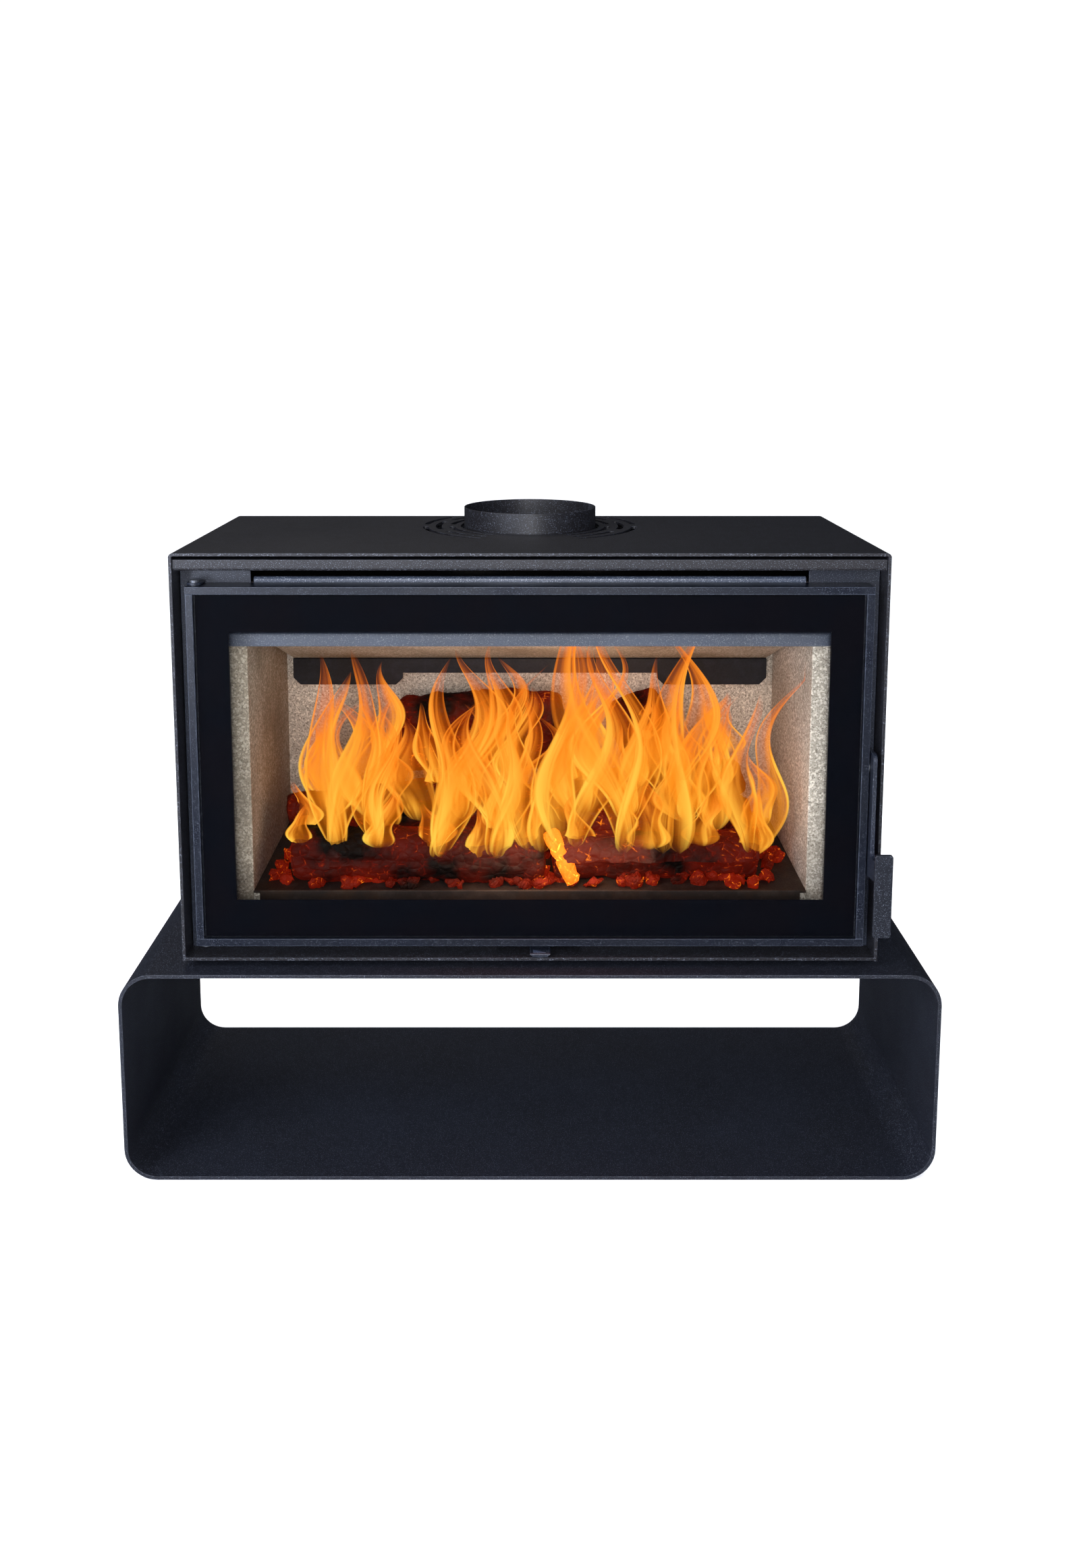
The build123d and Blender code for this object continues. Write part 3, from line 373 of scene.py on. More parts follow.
@dataclass(frozen=True)
class CeramicPane(Finish):
    """Clear ceramic glass, rolled 4 mm thick.

    The eye gets a clear pane that mirrors a little at a slant. Its reflections are held low, as they
    are against a dark room, and slight roller waves keep them from being perfect.
    """

    tint: str = "#f7f5f0"
    wave_mm: float = 60.0
    wave_depth_mm: float = 0.05
    mirror: float = 0.08

    def surface(self, tree: bpy.types.NodeTree) -> bpy.types.Node:
        """Mixes a clear and a mirrored layer by the slant."""
        place = put(tree, "ShaderNodeTexCoord").outputs["Object"]
        waves = put(tree, "ShaderNodeTexNoise", {
            "Vector": place, "Scale": per_metre(self.wave_mm), "Detail": 1.0})
        bump = put(tree, "ShaderNodeBump", {
            "Height": waves, "Distance": self.wave_depth_mm * MM, "Strength": 0.3})
        slant = put(tree, "ShaderNodeFresnel", {"IOR": 1.54, "Normal": bump})
        share = put(tree, "ShaderNodeMath", {0: slant, 1: self.mirror}, operation="MULTIPLY")
        matt = put(tree, "ShaderNodeMapRange", {0: waves, 1: 0.3, 2: 0.7, 3: 0.03, 4: 0.06})
        clear = put(tree, "ShaderNodeBsdfTransparent", {"Color": self.tint})
        gloss = put(tree, "ShaderNodeBsdfAnisotropic", {"Roughness": matt, "Normal": bump})
        return put(tree, "ShaderNodeMixShader", {0: share, 1: clear, 2: gloss})


@dataclass(frozen=True)
class FiredInk(Finish):
    """Black enamel, screen printed on the glass and fired.

    The eye gets a deep blue-black coat, even and satin, with the faint mottle of the screen.
    """

    colour: str = "#06080f"
    thin: str = "#08080e"
    mottle_mm: float = 90.0

    def surface(self, tree: bpy.types.NodeTree) -> bpy.types.Node:
        """Makes an even coat with a faint mottle."""
        place = put(tree, "ShaderNodeTexCoord").outputs["Object"]
        mottle = put(tree, "ShaderNodeTexNoise", {
            "Vector": place, "Scale": per_metre(self.mottle_mm), "Detail": 3.0})
        share = put(tree, "ShaderNodeMapRange", {0: mottle, 1: 0.4, 2: 0.6})
        coat = put(tree, "ShaderNodeMix", {0: share, A: self.colour, B: self.thin}, data_type="RGBA")
        matt = put(tree, "ShaderNodeMapRange", {0: mottle, 1: 0.3, 2: 0.7, 3: 0.45, 4: 0.55})
        bump = put(tree, "ShaderNodeBump", {"Height": mottle, "Distance": 0.02 * MM, "Strength": 0.2})
        return put(tree, "ShaderNodeBsdfPrincipled", {
            "Base Color": coat, "Roughness": matt, "Specular IOR Level": 0.02, "Normal": bump})


@dataclass(frozen=True)
class KnitFibre(Finish):
    """Knitted glass-fibre rope or tape.

    The eye gets a matt, slightly hairy cord whose yarns catch a soft sheen along their backs.
    """

    colour: str = "#35353a"
    dust: str = "#6a6660"
    yarn_mm: float = 1.1

    def surface(self, tree: bpy.types.NodeTree) -> bpy.types.Node:
        """Makes fuzzy yarn with dust in it."""
        place = put(tree, "ShaderNodeTexCoord").outputs["Object"]
        fuzz = put(tree, "ShaderNodeTexNoise", {
            "Vector": place, "Scale": per_metre(self.yarn_mm), "Detail": 3.0})
        share = put(tree, "ShaderNodeMapRange", {0: fuzz, 1: 0.45, 2: 0.75})
        face = put(tree, "ShaderNodeMix", {0: share, A: self.colour, B: self.dust}, data_type="RGBA")
        matt = put(tree, "ShaderNodeMapRange", {0: fuzz, 1: 0.3, 2: 0.7, 3: 0.8, 4: 0.95})
        bump = put(tree, "ShaderNodeBump", {"Height": fuzz, "Distance": 0.3 * MM})
        return put(tree, "ShaderNodeBsdfPrincipled", {
            "Base Color": face, "Roughness": matt, "Sheen Weight": 0.4, "Normal": bump})


@dataclass(frozen=True)
class ZincPlate(Finish):
    """Zinc-plated steel fasteners, passivated and dulled by heat.

    The eye gets a soft grey metal with darker spangles and bright rubbed corners.
    """

    colour: str = "#8f9399"
    dull: str = "#5c5e63"
    bright: str = "#c9ccd0"
    spangle_mm: float = 4.0

    def surface(self, tree: bpy.types.NodeTree) -> bpy.types.Node:
        """Makes spangles and bright corners."""
        place = put(tree, "ShaderNodeTexCoord").outputs["Object"]
        spangles = put(tree, "ShaderNodeTexNoise", {
            "Vector": place, "Scale": per_metre(self.spangle_mm), "Detail": 3.0})
        edge, rounded = self.edges(tree, 0.3)
        share = put(tree, "ShaderNodeMapRange", {0: spangles, 1: 0.4, 2: 0.65})
        rubbed = put(tree, "ShaderNodeMath", {0: edge, 1: 0.7}, operation="MULTIPLY")
        face = put(tree, "ShaderNodeMix", {0: share, A: self.colour, B: self.dull}, data_type="RGBA")
        face = put(tree, "ShaderNodeMix", {0: rubbed, A: face, B: self.bright}, data_type="RGBA")
        matt = put(tree, "ShaderNodeMapRange", {0: spangles, 1: 0.3, 2: 0.7, 3: 0.28, 4: 0.45})
        bump = put(tree, "ShaderNodeBump", {"Height": spangles, "Distance": 0.02 * MM, "Normal": rounded})
        return put(tree, "ShaderNodeBsdfPrincipled", {
            "Base Color": face, "Roughness": matt, "Metallic": 0.75, "Normal": bump})


@dataclass(frozen=True)
class CharredWood(Finish):
    """Firewood that burns: a black charred skin that is split in blocks, with embers below it.

    The eye gets dark brown-red char in blocks, glowing cracks between them, a deep red glow in wide
    patches and grey ash on what has cooled.
    """

    char: str = "#090201"
    warm: str = "#260602"
    ash: str = "#2a130c"
    ember: str = "#a01c03"
    hot: str = "#ff8418"
    glow: float = 1.4
    block_mm: float = 16.0
    glow_from: float = 0.5
    heat_mm: float = 80.0
    lick_mm: float = 9.0
    ash_mm: float = 25.0
    fibre_mm: float = 5.0

    def surface(self, tree: bpy.types.NodeTree) -> bpy.types.Node:
        """Makes char blocks, cracks, embers and ash."""
        place = put(tree, "ShaderNodeTexCoord").outputs["Object"]
        blocks = put(tree, "ShaderNodeTexVoronoi", {
            "Vector": place, "Scale": per_metre(self.block_mm)}, feature="DISTANCE_TO_EDGE")
        along = put(tree, "ShaderNodeMapping", {"Vector": place, "Scale": (0.12, 1.0, 1.0)})
        heats, licks, ashes, fibres = (
            put(tree, "ShaderNodeTexNoise", {"Vector": way, "Scale": per_metre(size), "Detail": detail})
            for way, size, detail in ((place, self.heat_mm, 3.0), (place, self.lick_mm, 4.0),
                                      (place, self.ash_mm, 6.0), (along, self.fibre_mm, 4.0)))
        crack = put(tree, "ShaderNodeMapRange", {0: blocks, 1: 0.0, 2: 0.09, 3: 1.0, 4: 0.0})
        split = put(tree, "ShaderNodeMapRange", {0: fibres, 1: 0.6, 2: 0.68})
        crack = put(tree, "ShaderNodeMath", {0: crack, 1: split}, operation="MAXIMUM")
        heat = put(tree, "ShaderNodeMapRange", {
            0: heats, 1: self.glow_from - 0.12, 2: self.glow_from + 0.16})
        lick = put(tree, "ShaderNodeMapRange", {0: licks, 1: 0.5, 2: 0.72})
        inside = put(tree, "ShaderNodeMath", {0: crack, 1: lick, 2: 0.26}, operation="MULTIPLY_ADD")
        lit = put(tree, "ShaderNodeMath", {0: inside, 1: heat}, operation="MULTIPLY")
        cooled = put(tree, "ShaderNodeMapRange", {0: ashes, 1: 0.6, 2: 0.8, 4: 0.3})
        skin = put(tree, "ShaderNodeMix", {0: heat, A: self.char, B: self.warm}, data_type="RGBA")
        skin = put(tree, "ShaderNodeMix", {0: cooled, A: skin, B: self.ash}, data_type="RGBA")
        hottest = put(tree, "ShaderNodeMapRange", {0: lit, 1: 0.3, 2: 0.9})
        fire = put(tree, "ShaderNodeMix", {0: hottest, A: self.ember, B: self.hot}, data_type="RGBA")
        strength = put(tree, "ShaderNodeMath", {0: lit, 1: self.glow}, operation="MULTIPLY")
        height = put(tree, "ShaderNodeMapRange", {0: blocks, 1: 0.0, 2: 0.25})
        matt = put(tree, "ShaderNodeMapRange", {0: licks, 1: 0.3, 2: 0.7, 3: 0.55, 4: 0.9})
        bump = put(tree, "ShaderNodeBump", {"Height": height, "Distance": 1.5 * MM})
        bump = put(tree, "ShaderNodeBump", {"Height": fibres, "Distance": 1.2 * MM, "Normal": bump})
        return put(tree, "ShaderNodeBsdfPrincipled", {
            "Base Color": skin, "Roughness": matt, "Specular IOR Level": 0.15, "Emission Color": fire,
            "Emission Strength": strength, "Normal": bump})


@dataclass(frozen=True)
class FlameSheet(Finish):
    """Burning wood gas: a thin glowing skin.

    The eye gets clear orange tongues with yellow streaks along the way they rise, bright folded rims
    and tips that fade. The pattern follows the flame's own map: U across it, V from root to tip.
    """

    core: str = "#ffdc5a"
    body: str = "#ff8e14"
    tip: str = "#ff6e0c"
    strength: float = 1.28
    thin: float = 0.1
    thick: float = 0.86

    def surface(self, tree: bpy.types.NodeTree) -> bpy.types.Node:
        """Makes streaks, rims and fading ends."""
        spot = put(tree, "ShaderNodeUVMap", uv_map=FLAME_MAP)
        parts = put(tree, "ShaderNodeSeparateXYZ", {"Vector": spot})
        rise = parts.outputs["Y"]
        across = put(tree, "ShaderNodeMath", {0: parts.outputs["X"]}, operation="FRACT")
        side = put(tree, "ShaderNodeMath", {0: across, 1: 0.5}, operation="SUBTRACT")
        side = put(tree, "ShaderNodeMath", {0: side}, operation="ABSOLUTE")
        grain = put(tree, "ShaderNodeMapping", {"Vector": spot, "Scale": (2.6, 1.0, 1.0)})
        streaks = put(tree, "ShaderNodeTexNoise", {
            "Vector": grain, "Scale": 1.4, "Detail": 2.0, "Distortion": 0.9})
        rim, fold, outside, root, end, flicker, cooling, high = (
            put(tree, "ShaderNodeMapRange", sockets) for sockets in (
                {0: side, 1: 0.36, 2: 0.46, 4: 0.75},
                {0: across, 1: 0.08, 2: 0.75, 3: 0.85, 4: 0.0},
                {0: side, 1: 0.45, 2: 0.5, 3: 1.0, 4: 0.0},
                {0: rise, 1: 0.0, 2: 0.14},
                {0: rise, 1: 0.72, 2: 1.0, 3: 1.0, 4: 0.0},
                {0: streaks, 1: 0.36, 2: 0.62, 3: 0.15},
                {0: rise, 1: 0.15, 2: 1.0, 3: 1.0, 4: 0.2},
                {0: rise, 1: 0.2, 2: 0.9}))
        glow = put(tree, "ShaderNodeMath", {0: rim, 1: fold}, operation="MAXIMUM")
        glow = put(tree, "ShaderNodeMath", {0: glow, 1: flicker}, operation="MULTIPLY")
        clear = put(tree, "ShaderNodeMapRange", {0: glow, 1: 0.0, 2: 0.7, 3: self.thin, 4: self.thick})
        for fade in (outside, root, end):
            clear = put(tree, "ShaderNodeMath", {0: clear, 1: fade}, operation="MULTIPLY")
        warm = put(tree, "ShaderNodeMath", {0: glow, 1: cooling}, operation="MULTIPLY")
        colour = put(tree, "ShaderNodeMix", {0: high, A: self.body, B: self.tip}, data_type="RGBA")
        colour = put(tree, "ShaderNodeMix", {0: warm, A: colour, B: self.core}, data_type="RGBA")
        light = put(tree, "ShaderNodeEmission", {"Color": colour, "Strength": self.strength})
        open_air = put(tree, "ShaderNodeBsdfTransparent")
        return put(tree, "ShaderNodeMixShader", {0: clear, 1: open_air, 2: light})


@dataclass(frozen=True)
class PaleScreed(Finish):
    """Plain pale studio floor.

    The eye gets a nearly white matt ground with a trace of mottle.
    """

    colour: str = "#f6f6f6"
    mottle: str = "#f2f2f2"

    def surface(self, tree: bpy.types.NodeTree) -> bpy.types.Node:
        """Makes a faint mottle."""
        place = put(tree, "ShaderNodeTexCoord").outputs["Object"]
        clouds = put(tree, "ShaderNodeTexNoise", {"Vector": place, "Scale": per_metre(400)})
        face = put(tree, "ShaderNodeMix", {0: clouds, A: self.colour, B: self.mottle}, data_type="RGBA")
        matt = put(tree, "ShaderNodeMapRange", {0: clouds, 3: 0.85, 4: 0.95})
        bump = put(tree, "ShaderNodeBump", {"Height": clouds, "Distance": 0.1 * MM, "Strength": 0.2})
        return put(tree, "ShaderNodeBsdfPrincipled", {
            "Base Color": face, "Roughness": matt, "Normal": bump})


CASING_PAINT = SprayedPaint("satin_graphite_stove_paint", "#1e1c1e", "#19181c")
STAND_PAINT = SprayedPaint("matt_graphite_stand_paint", "#1d2029", "#181a22", edge="#6a6e79", roughness=0.5)
# The rails' pale edge colour, laid on most of each edge, is a painted highlight along the door bars' edges,
# with a little rubbed wear.
RAIL_PAINT = SprayedPaint("satin_slate_door_paint", "#141822", "#10141d", edge="#8b96aa", roughness=0.3,
                          fleck_share=0.12, least_wear_and_edge_highlight=0.35, edge_mm=0.8)
FRONT_PAINT = SprayedPaint("satin_blue_black_front_paint", "#1f2430", "#1a1f29", edge="#667186",
                           roughness=0.4)
# The many pale flecks on the convection bar are partly paint flecks and partly a painted speckled
# reflection.
BAR_PAINT = SprayedPaint("flecked_bar_paint_with_painted_glints", "#4c5566", "#414958", fleck="#c3ccda", roughness=0.33,
                         fleck_share=0.6)
# The near-white edge colour paints a highlight along the air-wash bar's edges, with a little rubbed wear.
WASH_PAINT = SprayedPaint("heat_blued_air_wash_paint", "#4e5971", "#465066", edge="#c3ccda",
                          fleck="#aeb8c9", roughness=0.4)
GRIP_PAINT = SprayedPaint("satin_slate_grip_paint", "#171a22", "#14171e", roughness=0.4)
BOX_STEEL = HeatedSteel("heat_blackened_firebox_steel")
HEARTH_STEEL = HeatedSteel("dark_hearth_steel", colour="#2a2222", ash="#4a4341", ash_share=0.4)
BAFFLE_STEEL = HeatedSteel("blue_black_bracket_steel", colour="#151a26", rust="#1b202c", ash="#3a4256",
                           ash_share=0.2)
DUCT_STEEL = HeatedSteel("mill_finish_duct_steel", colour="#3b3c3f", rust="#332f2d", ash="#6b6a68")
SIDE_BOARD = PressedBoard("vermiculite_side_board")
# A darker copy of the board for the left liner and the baffle board: its darker colour and heavier stain
# are painted shade.
SHADED_BOARD = PressedBoard("vermiculite_board_in_painted_shade", colour="#9c958c", pale="#cbc5bc", smoke="#6d665e",
                         smoke_share=0.6)
BACK_BOARD = PressedBoard("vermiculite_back_board", colour="#c2beb9", pale="#f4f1ec", smoke_share=0.25)
PANE = CeramicPane("clear_ceramic_glass")
INK = FiredInk("fired_black_enamel")
TAPE = KnitFibre("glass_fibre_tape", colour="#bdbab2", dust="#8d8981")
ROPE = KnitFibre("dark_glass_fibre_rope")
ZINC = ZincPlate("zinc_plated_steel")
CHAR = CharredWood("charred_firewood")
COALS = CharredWood("glowing_wood_coals", char="#1c0804", warm="#5a1406", glow=1.8, block_mm=9.0,
                    glow_from=0.42)
HOT_WOOD = CharredWood("wood_in_full_flame", char="#8a2c08", warm="#c0480c", ember="#ff8a1c", hot="#ffb63e",
                       glow=3.4, glow_from=0.1)
FLAME = FlameSheet("burning_wood_gas")
GROUND = PaleScreed("plain_pale_floor")


# ------------------------------------------------------------------ geometry node recipes
class Recipe:
    """One Geometry Nodes tree with named inputs, which turns a base mesh to a finished piece."""

    SOCKETS = {float: "NodeSocketFloat", int: "NodeSocketInt", bpy.types.Object: "NodeSocketObject"}

    def __init__(self, name: str, inputs: dict[str, Any], finish: Finish) -> None:
        """Makes the tree with its inputs.

        Args:
            name: the tree's name.
            inputs: each input's name and value.
            finish: what the result is made of.
        """
        self.tree = bpy.data.node_groups.new(name, "GeometryNodeTree")
        self.finish = finish
        self.values: dict[str, Any] = {}
        self.tree.interface.new_socket(name="Geometry", in_out="INPUT", socket_type="NodeSocketGeometry")
        for label, value in inputs.items():
            kind = self.SOCKETS[type(value)]
            made = self.tree.interface.new_socket(name=label, in_out="INPUT", socket_type=kind)
            self.values[made.identifier] = value
        self.tree.interface.new_socket(name="Geometry", in_out="OUTPUT", socket_type="NodeSocketGeometry")
        self.given = put(self.tree, "NodeGroupInput")

    def value(self, label: str) -> bpy.types.NodeSocket:
        """Returns the socket of a named input."""
        return self.given.outputs[label]

    def end(self, geometry: bpy.types.NodeSocket) -> None:
        """Ends the tree: makes instances real, sets the material and smooth shading."""
        real = put(self.tree, "GeometryNodeRealizeInstances", {"Geometry": geometry})
        smooth = put(self.tree, "GeometryNodeSetShadeSmooth", {"Geometry": real.outputs["Geometry"]})
        dressed = put(self.tree, "GeometryNodeSetMaterial", {
            "Geometry": smooth.outputs["Geometry"], "Material": self.finish.material()})
        put(self.tree, "NodeGroupOutput", {"Geometry": dressed.outputs["Geometry"]})

    def run(self, name: str, base: bpy.types.Mesh) -> bpy.types.Object:
        """Runs the tree on a base mesh.

        Args:
            name: the piece's name.
            base: the mesh that the tree starts from.

        Returns:
            The piece, as a plain mesh.
        """
        source = add_object(f"{name}_base", base)
        modifier = source.modifiers.new(self.tree.name, "NODES")
        modifier.node_group = self.tree
        for identifier, value in self.values.items():
            modifier[identifier] = value
        return plain_copy(source, name)


def path_mesh(name: str, paths: list[list[Vector]], sizes: list[float] | None = None) -> bpy.types.Mesh:
    """Makes a mesh of open paths, for a tree to follow.

    Args:
        name: the mesh's name.
        paths: each path's points.
        sizes: one size for each path, kept on its points as the attribute "size".

    Returns:
        A mesh of points and edges.
    """
    points, edges, values = [], [], []
    for number, path in enumerate(paths):
        first = len(points)
        points += path
        edges += [(first + i, first + i + 1) for i in range(len(path) - 1)]
        values += [sizes[number] if sizes else 1.0] * len(path)
    mesh = bpy.data.meshes.new(name)
    mesh.from_pydata(points, edges, [])
    mesh.attributes.new("size", "FLOAT", "POINT").data.foreach_set("value", values)
    return mesh


# ------------------------------------------------------------------ sub-assemblies
class SubAssembly:
    """What every sub-assembly can do: dress CAD nodes, and hand in new pieces."""

    body = Body.STOVE
    weld_mm = 0.002  # points nearer than this are one
    flat_angle = 0.5  # degrees; faces that turn less are joined
    sharp_angle = 32.0  # degrees; edges that turn more are rounded

    def dress(self, finish: Finish, *nodes: str) -> None:
        """Gives CAD nodes a finish.

        Args:
            finish: the finish.
            nodes: the CAD nodes' names.
        """
        for node in nodes:
            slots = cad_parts[node].data.materials
            slots.clear()
            slots.append(finish.material())
            log.info("dressed %s in %s", node, finish.name)

    def hand_in(self, piece: bpy.types.Object, slot: Slot | None, *replaced: str) -> None:
        """Hands a finished piece in.

        Args:
            piece: the piece, at the origin.
            slot: the record's slot, or None for the burning wood; not used.
            replaced: the CAD nodes that it stands for.
        """
        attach(piece, self.body.value)
        if replaced:
            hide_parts(*replaced)
        log.info("made %s, %d faces", piece.name, len(piece.data.polygons))

    def hand_in_shape(self, shape: bmesh.types.BMesh, name: str, finish: Finish, slot: Slot | None,
                      smooth_angle: float = 30.0) -> None:
        """Turns a finished bmesh to a piece and hands it in.

        Args:
            shape: the bmesh.
            name: the piece's name.
            finish: what it is made of.
            slot: the record's slot, or None for the burning wood.
            smooth_angle: edges that turn more than this, in degrees, stay sharp.
        """
        bmesh.ops.recalc_face_normals(shape, faces=shape.faces)
        mesh = mesh_of(name, shape, smooth_angle)
        mesh.materials.append(finish.material())
        self.hand_in(add_object(name, mesh), slot)

    def soften(self, finish: Finish, slot: Slot, rounding_mm: float, *nodes: str) -> None:
        """Stands in for CAD nodes with copies whose sharp edges are rounded.

        Args:
            finish: the copies' finish.
            slot: their slot in the record.
            rounding_mm: the radius of the rounding.
            nodes: the CAD nodes' names.
        """
        for node in nodes:
            shape = bmesh.new()
            shape.from_mesh(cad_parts[node].data)
            bmesh.ops.remove_doubles(shape, verts=shape.verts, dist=self.weld_mm * MM)
            bmesh.ops.dissolve_limit(shape, angle_limit=math.radians(self.flat_angle), verts=shape.verts,
                                     edges=shape.edges)
            mesh = mesh_of(f"{node}_rounded", shape)
            mesh.materials.clear()
            mesh.materials.append(finish.material())
            source = add_object(f"{node}_sharp", mesh)
            rounding = source.modifiers.new("rounding", "BEVEL")
            rounding.width = rounding_mm * MM
            rounding.segments = 2
            rounding.limit_method = "ANGLE"
            rounding.angle_limit = math.radians(self.sharp_angle)
            rounding.harden_normals = True
            self.hand_in(plain_copy(source, f"{node}_rounded"), slot, node)


@dataclass
class Stand(SubAssembly):
    """The open log-store stand and the spacer feet that carry the casing."""

    rounding_mm: float = 0.7

    def build(self) -> None:
        """Rounds the stand's edges, and dresses the feet and their bolts."""
        self.soften(STAND_PAINT, Slot.PAINT, self.rounding_mm, "stand_shell")
        self.dress(STAND_PAINT, "spacer_feet")
        self.dress(ZINC, "foot_bolts", "foot_nuts")


@dataclass
class Casing(SubAssembly):
    """The outer casing, its floor, back panel and heat shield."""

    rounding_mm: float = 0.7
    head_radius_mm: float = 4.5
    head_height_mm: float = 2.5
    socket_radius_mm: float = 1.7
    socket_depth_mm: float = 1.5
    shank_radius_mm: float = 2.5
    screws_a_side: int = 5
    round_steps: int = 24

    def build(self) -> None:
        """Rounds the plates, and makes the back screws."""
        self.soften(CASING_PAINT, Slot.PAINT, self.rounding_mm, "casing_shell", "top_heat_shield",
                    "back_panel")
        self.dress(CASING_PAINT, "casing_floor")
        self.dress(DUCT_STEEL, "back_flanges")
        self.make_screws()

    def screw(self) -> bpy.types.Object:
        """Makes one pan-head screw with a hexagon socket, its shank along -Y from the origin."""
        head, height = self.head_radius_mm * MM, self.head_height_mm * MM
        socket, depth = self.socket_radius_mm * MM, self.socket_depth_mm * MM
        shank = self.shank_radius_mm * MM
        outline = [(0.0, height - depth), (socket, height - depth), (socket, height), (0.62 * head, height),
                   (0.86 * head, 0.82 * height), (head, 0.4 * height), (head, 0.0), (shank, 0.0),
                   (shank, -3 * height), (0.0, -3 * height)]
        turns = self.round_steps
        shape = bmesh.new()
        rings = []
        for radius, along in outline:
            if radius == 0:
                rings.append([shape.verts.new((0, along, 0))])
                continue
            ring = []
            for step in range(turns):
                angle = math.tau * step / turns
                reach = radius
                if radius == socket:  # a hexagon's side, seen from its centre
                    sector = math.tau / 6
                    reach = socket / math.cos((angle % sector) - sector / 2)
                ring.append(shape.verts.new((reach * math.cos(angle), along, reach * math.sin(angle))))
            rings.append(ring)
        for first, second in zip(rings, rings[1:]):
            for step in range(turns):
                ahead = (step + 1) % turns
                corners = [first[step % len(first)], first[ahead % len(first)],
                           second[ahead % len(second)], second[step % len(second)]]
                shape.faces.new(list(dict.fromkeys(corners)))
        bmesh.ops.recalc_face_normals(shape, faces=shape.faces)
        return add_object("screw_pattern", mesh_of("screw_pattern", shape))

    def make_screws(self) -> None:
        """Places a screw in each hole of the back panel's two flanges."""
        low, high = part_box("back_screws")
        head = self.head_radius_mm * MM
        seat_y = high.y - self.head_height_mm * MM
        gap = (high.z - low.z - 2 * head) / (self.screws_a_side - 1)
        places = [Vector((x, seat_y, low.z + head + gap * row))
                  for x in (low.x + head, high.x - head) for row in range(self.screws_a_side)]
        pattern = self.screw()
        recipe = Recipe("screws_on_points", {"Screw": pattern, "Turn Seed": 4}, ZINC)
        screw = put(recipe.tree, "GeometryNodeObjectInfo", {"Object": recipe.value("Screw")})
        turn = put(recipe.tree, "FunctionNodeRandomValue", {
            "Min": (0.0, 0.0, 0.0), "Max": (0.0, math.tau, 0.0), "Seed": recipe.value("Turn Seed")},
            data_type="FLOAT_VECTOR")
        placed = put(recipe.tree, "GeometryNodeInstanceOnPoints", {
            "Points": recipe.value("Geometry"), "Instance": screw.outputs["Geometry"],
            "Rotation": turn.outputs["Value"]})
        recipe.end(placed.outputs["Instances"])
        piece = recipe.run("back_panel_screws", path_mesh("screw_places", [[p] for p in places]))
        bpy.data.objects.remove(pattern)
        self.hand_in(piece, Slot.ZINC, "back_screws")


@dataclass
class Front(SubAssembly):
    """The body plate behind the door, and what is fixed to it."""

    rounding_mm: float = 0.6

    def build(self) -> None:
        """Rounds the front plate and bar, and dresses the brackets and pins."""
        self.soften(FRONT_PAINT, Slot.PAINT, self.rounding_mm, "body_plate")
        self.soften(BAR_PAINT, Slot.PAINT, self.rounding_mm, "convection_bar")
        self.dress(FRONT_PAINT, "lower_hinge_bracket", "upper_hinge_bracket", "striker_bracket")
        self.dress(ZINC, "hinge_pins", "hinge_washers", "striker_pin")


@dataclass
class Firebox(SubAssembly):
    """The welded firebox, its boards, baffle, air wash and flue collar."""

    rounding_mm: float = 0.6

    def build(self) -> None:
        """Rounds what shows through the door, and dresses the rest."""
        self.dress(BOX_STEEL, "firebox_floor", "firebox_back", "firebox_left_side", "firebox_right_side",
                   "firebox_top")
        self.dress(DUCT_STEEL, "firebox_legs", "air_risers", "baffle_rod")
        # the left liner and the baffle board get the darker board, which is painted shade
        self.dress(SHADED_BOARD, "left_liner", "baffle_board")
        self.dress(SIDE_BOARD, "right_liner", "hearth_board")
        self.dress(BACK_BOARD, "back_liner")
        self.dress(HEARTH_STEEL, "hearth_plate")
        self.soften(HEARTH_STEEL, Slot.FIREBOX, self.rounding_mm, "log_retainer")
        self.soften(BAFFLE_STEEL, Slot.FIREBOX, self.rounding_mm, "baffle_bracket")
        self.soften(WASH_PAINT, Slot.FIREBOX, self.rounding_mm, "air_wash_bar")
        self.soften(CASING_PAINT, Slot.PAINT, self.rounding_mm, "flue_collar")
        self.dress(ZINC, "flue_bolts")


@dataclass
class AirControl(SubAssembly):
    """The air box, and the slider whose tab comes out under the door."""

    rounding_mm: float = 0.3
    mark_long_mm: float = 18.0
    mark_deep_mm: float = 9.0
    mark_thick_mm: float = 0.15
    mark_from_side_mm: float = 4.5
    mark_from_front_mm: float = 3.0

    def build(self) -> None:
        """Dresses the box and the slider, and marks the tab."""
        self.dress(DUCT_STEEL, "air_box", "slider_guides")
        self.body = Body.SLIDER
        self.soften(FRONT_PAINT, Slot.PAINT, self.rounding_mm, "air_slider")
        self.mark_tab()

    def mark_tab(self) -> None:
        """Makes the wedge on top of the tab, which shows the way to more air."""
        low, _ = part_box("air_slider")
        reach = low.y + self.mark_deep_mm * MM
        tab = [v.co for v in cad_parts["air_slider"].data.vertices if v.co.y < reach]
        left = min(spot.x for spot in tab) + self.mark_from_side_mm * MM
        right, top = left + self.mark_long_mm * MM, max(spot.z for spot in tab)
        front = low.y + self.mark_from_front_mm * MM
        wedge = [(left, front), (right, front), (left, front + self.mark_deep_mm * MM)]
        shape = bmesh.new()
        half = self.mark_thick_mm * MM / 2
        lower = [shape.verts.new((x, y, top - half)) for x, y in wedge]
        upper = [shape.verts.new((x, y, top + half)) for x, y in wedge]
        shape.faces.new(lower)
        shape.faces.new(upper)
        bridge(shape, lower, upper)
        self.hand_in_shape(shape, "air_mark", WASH_PAINT, Slot.PAINT)


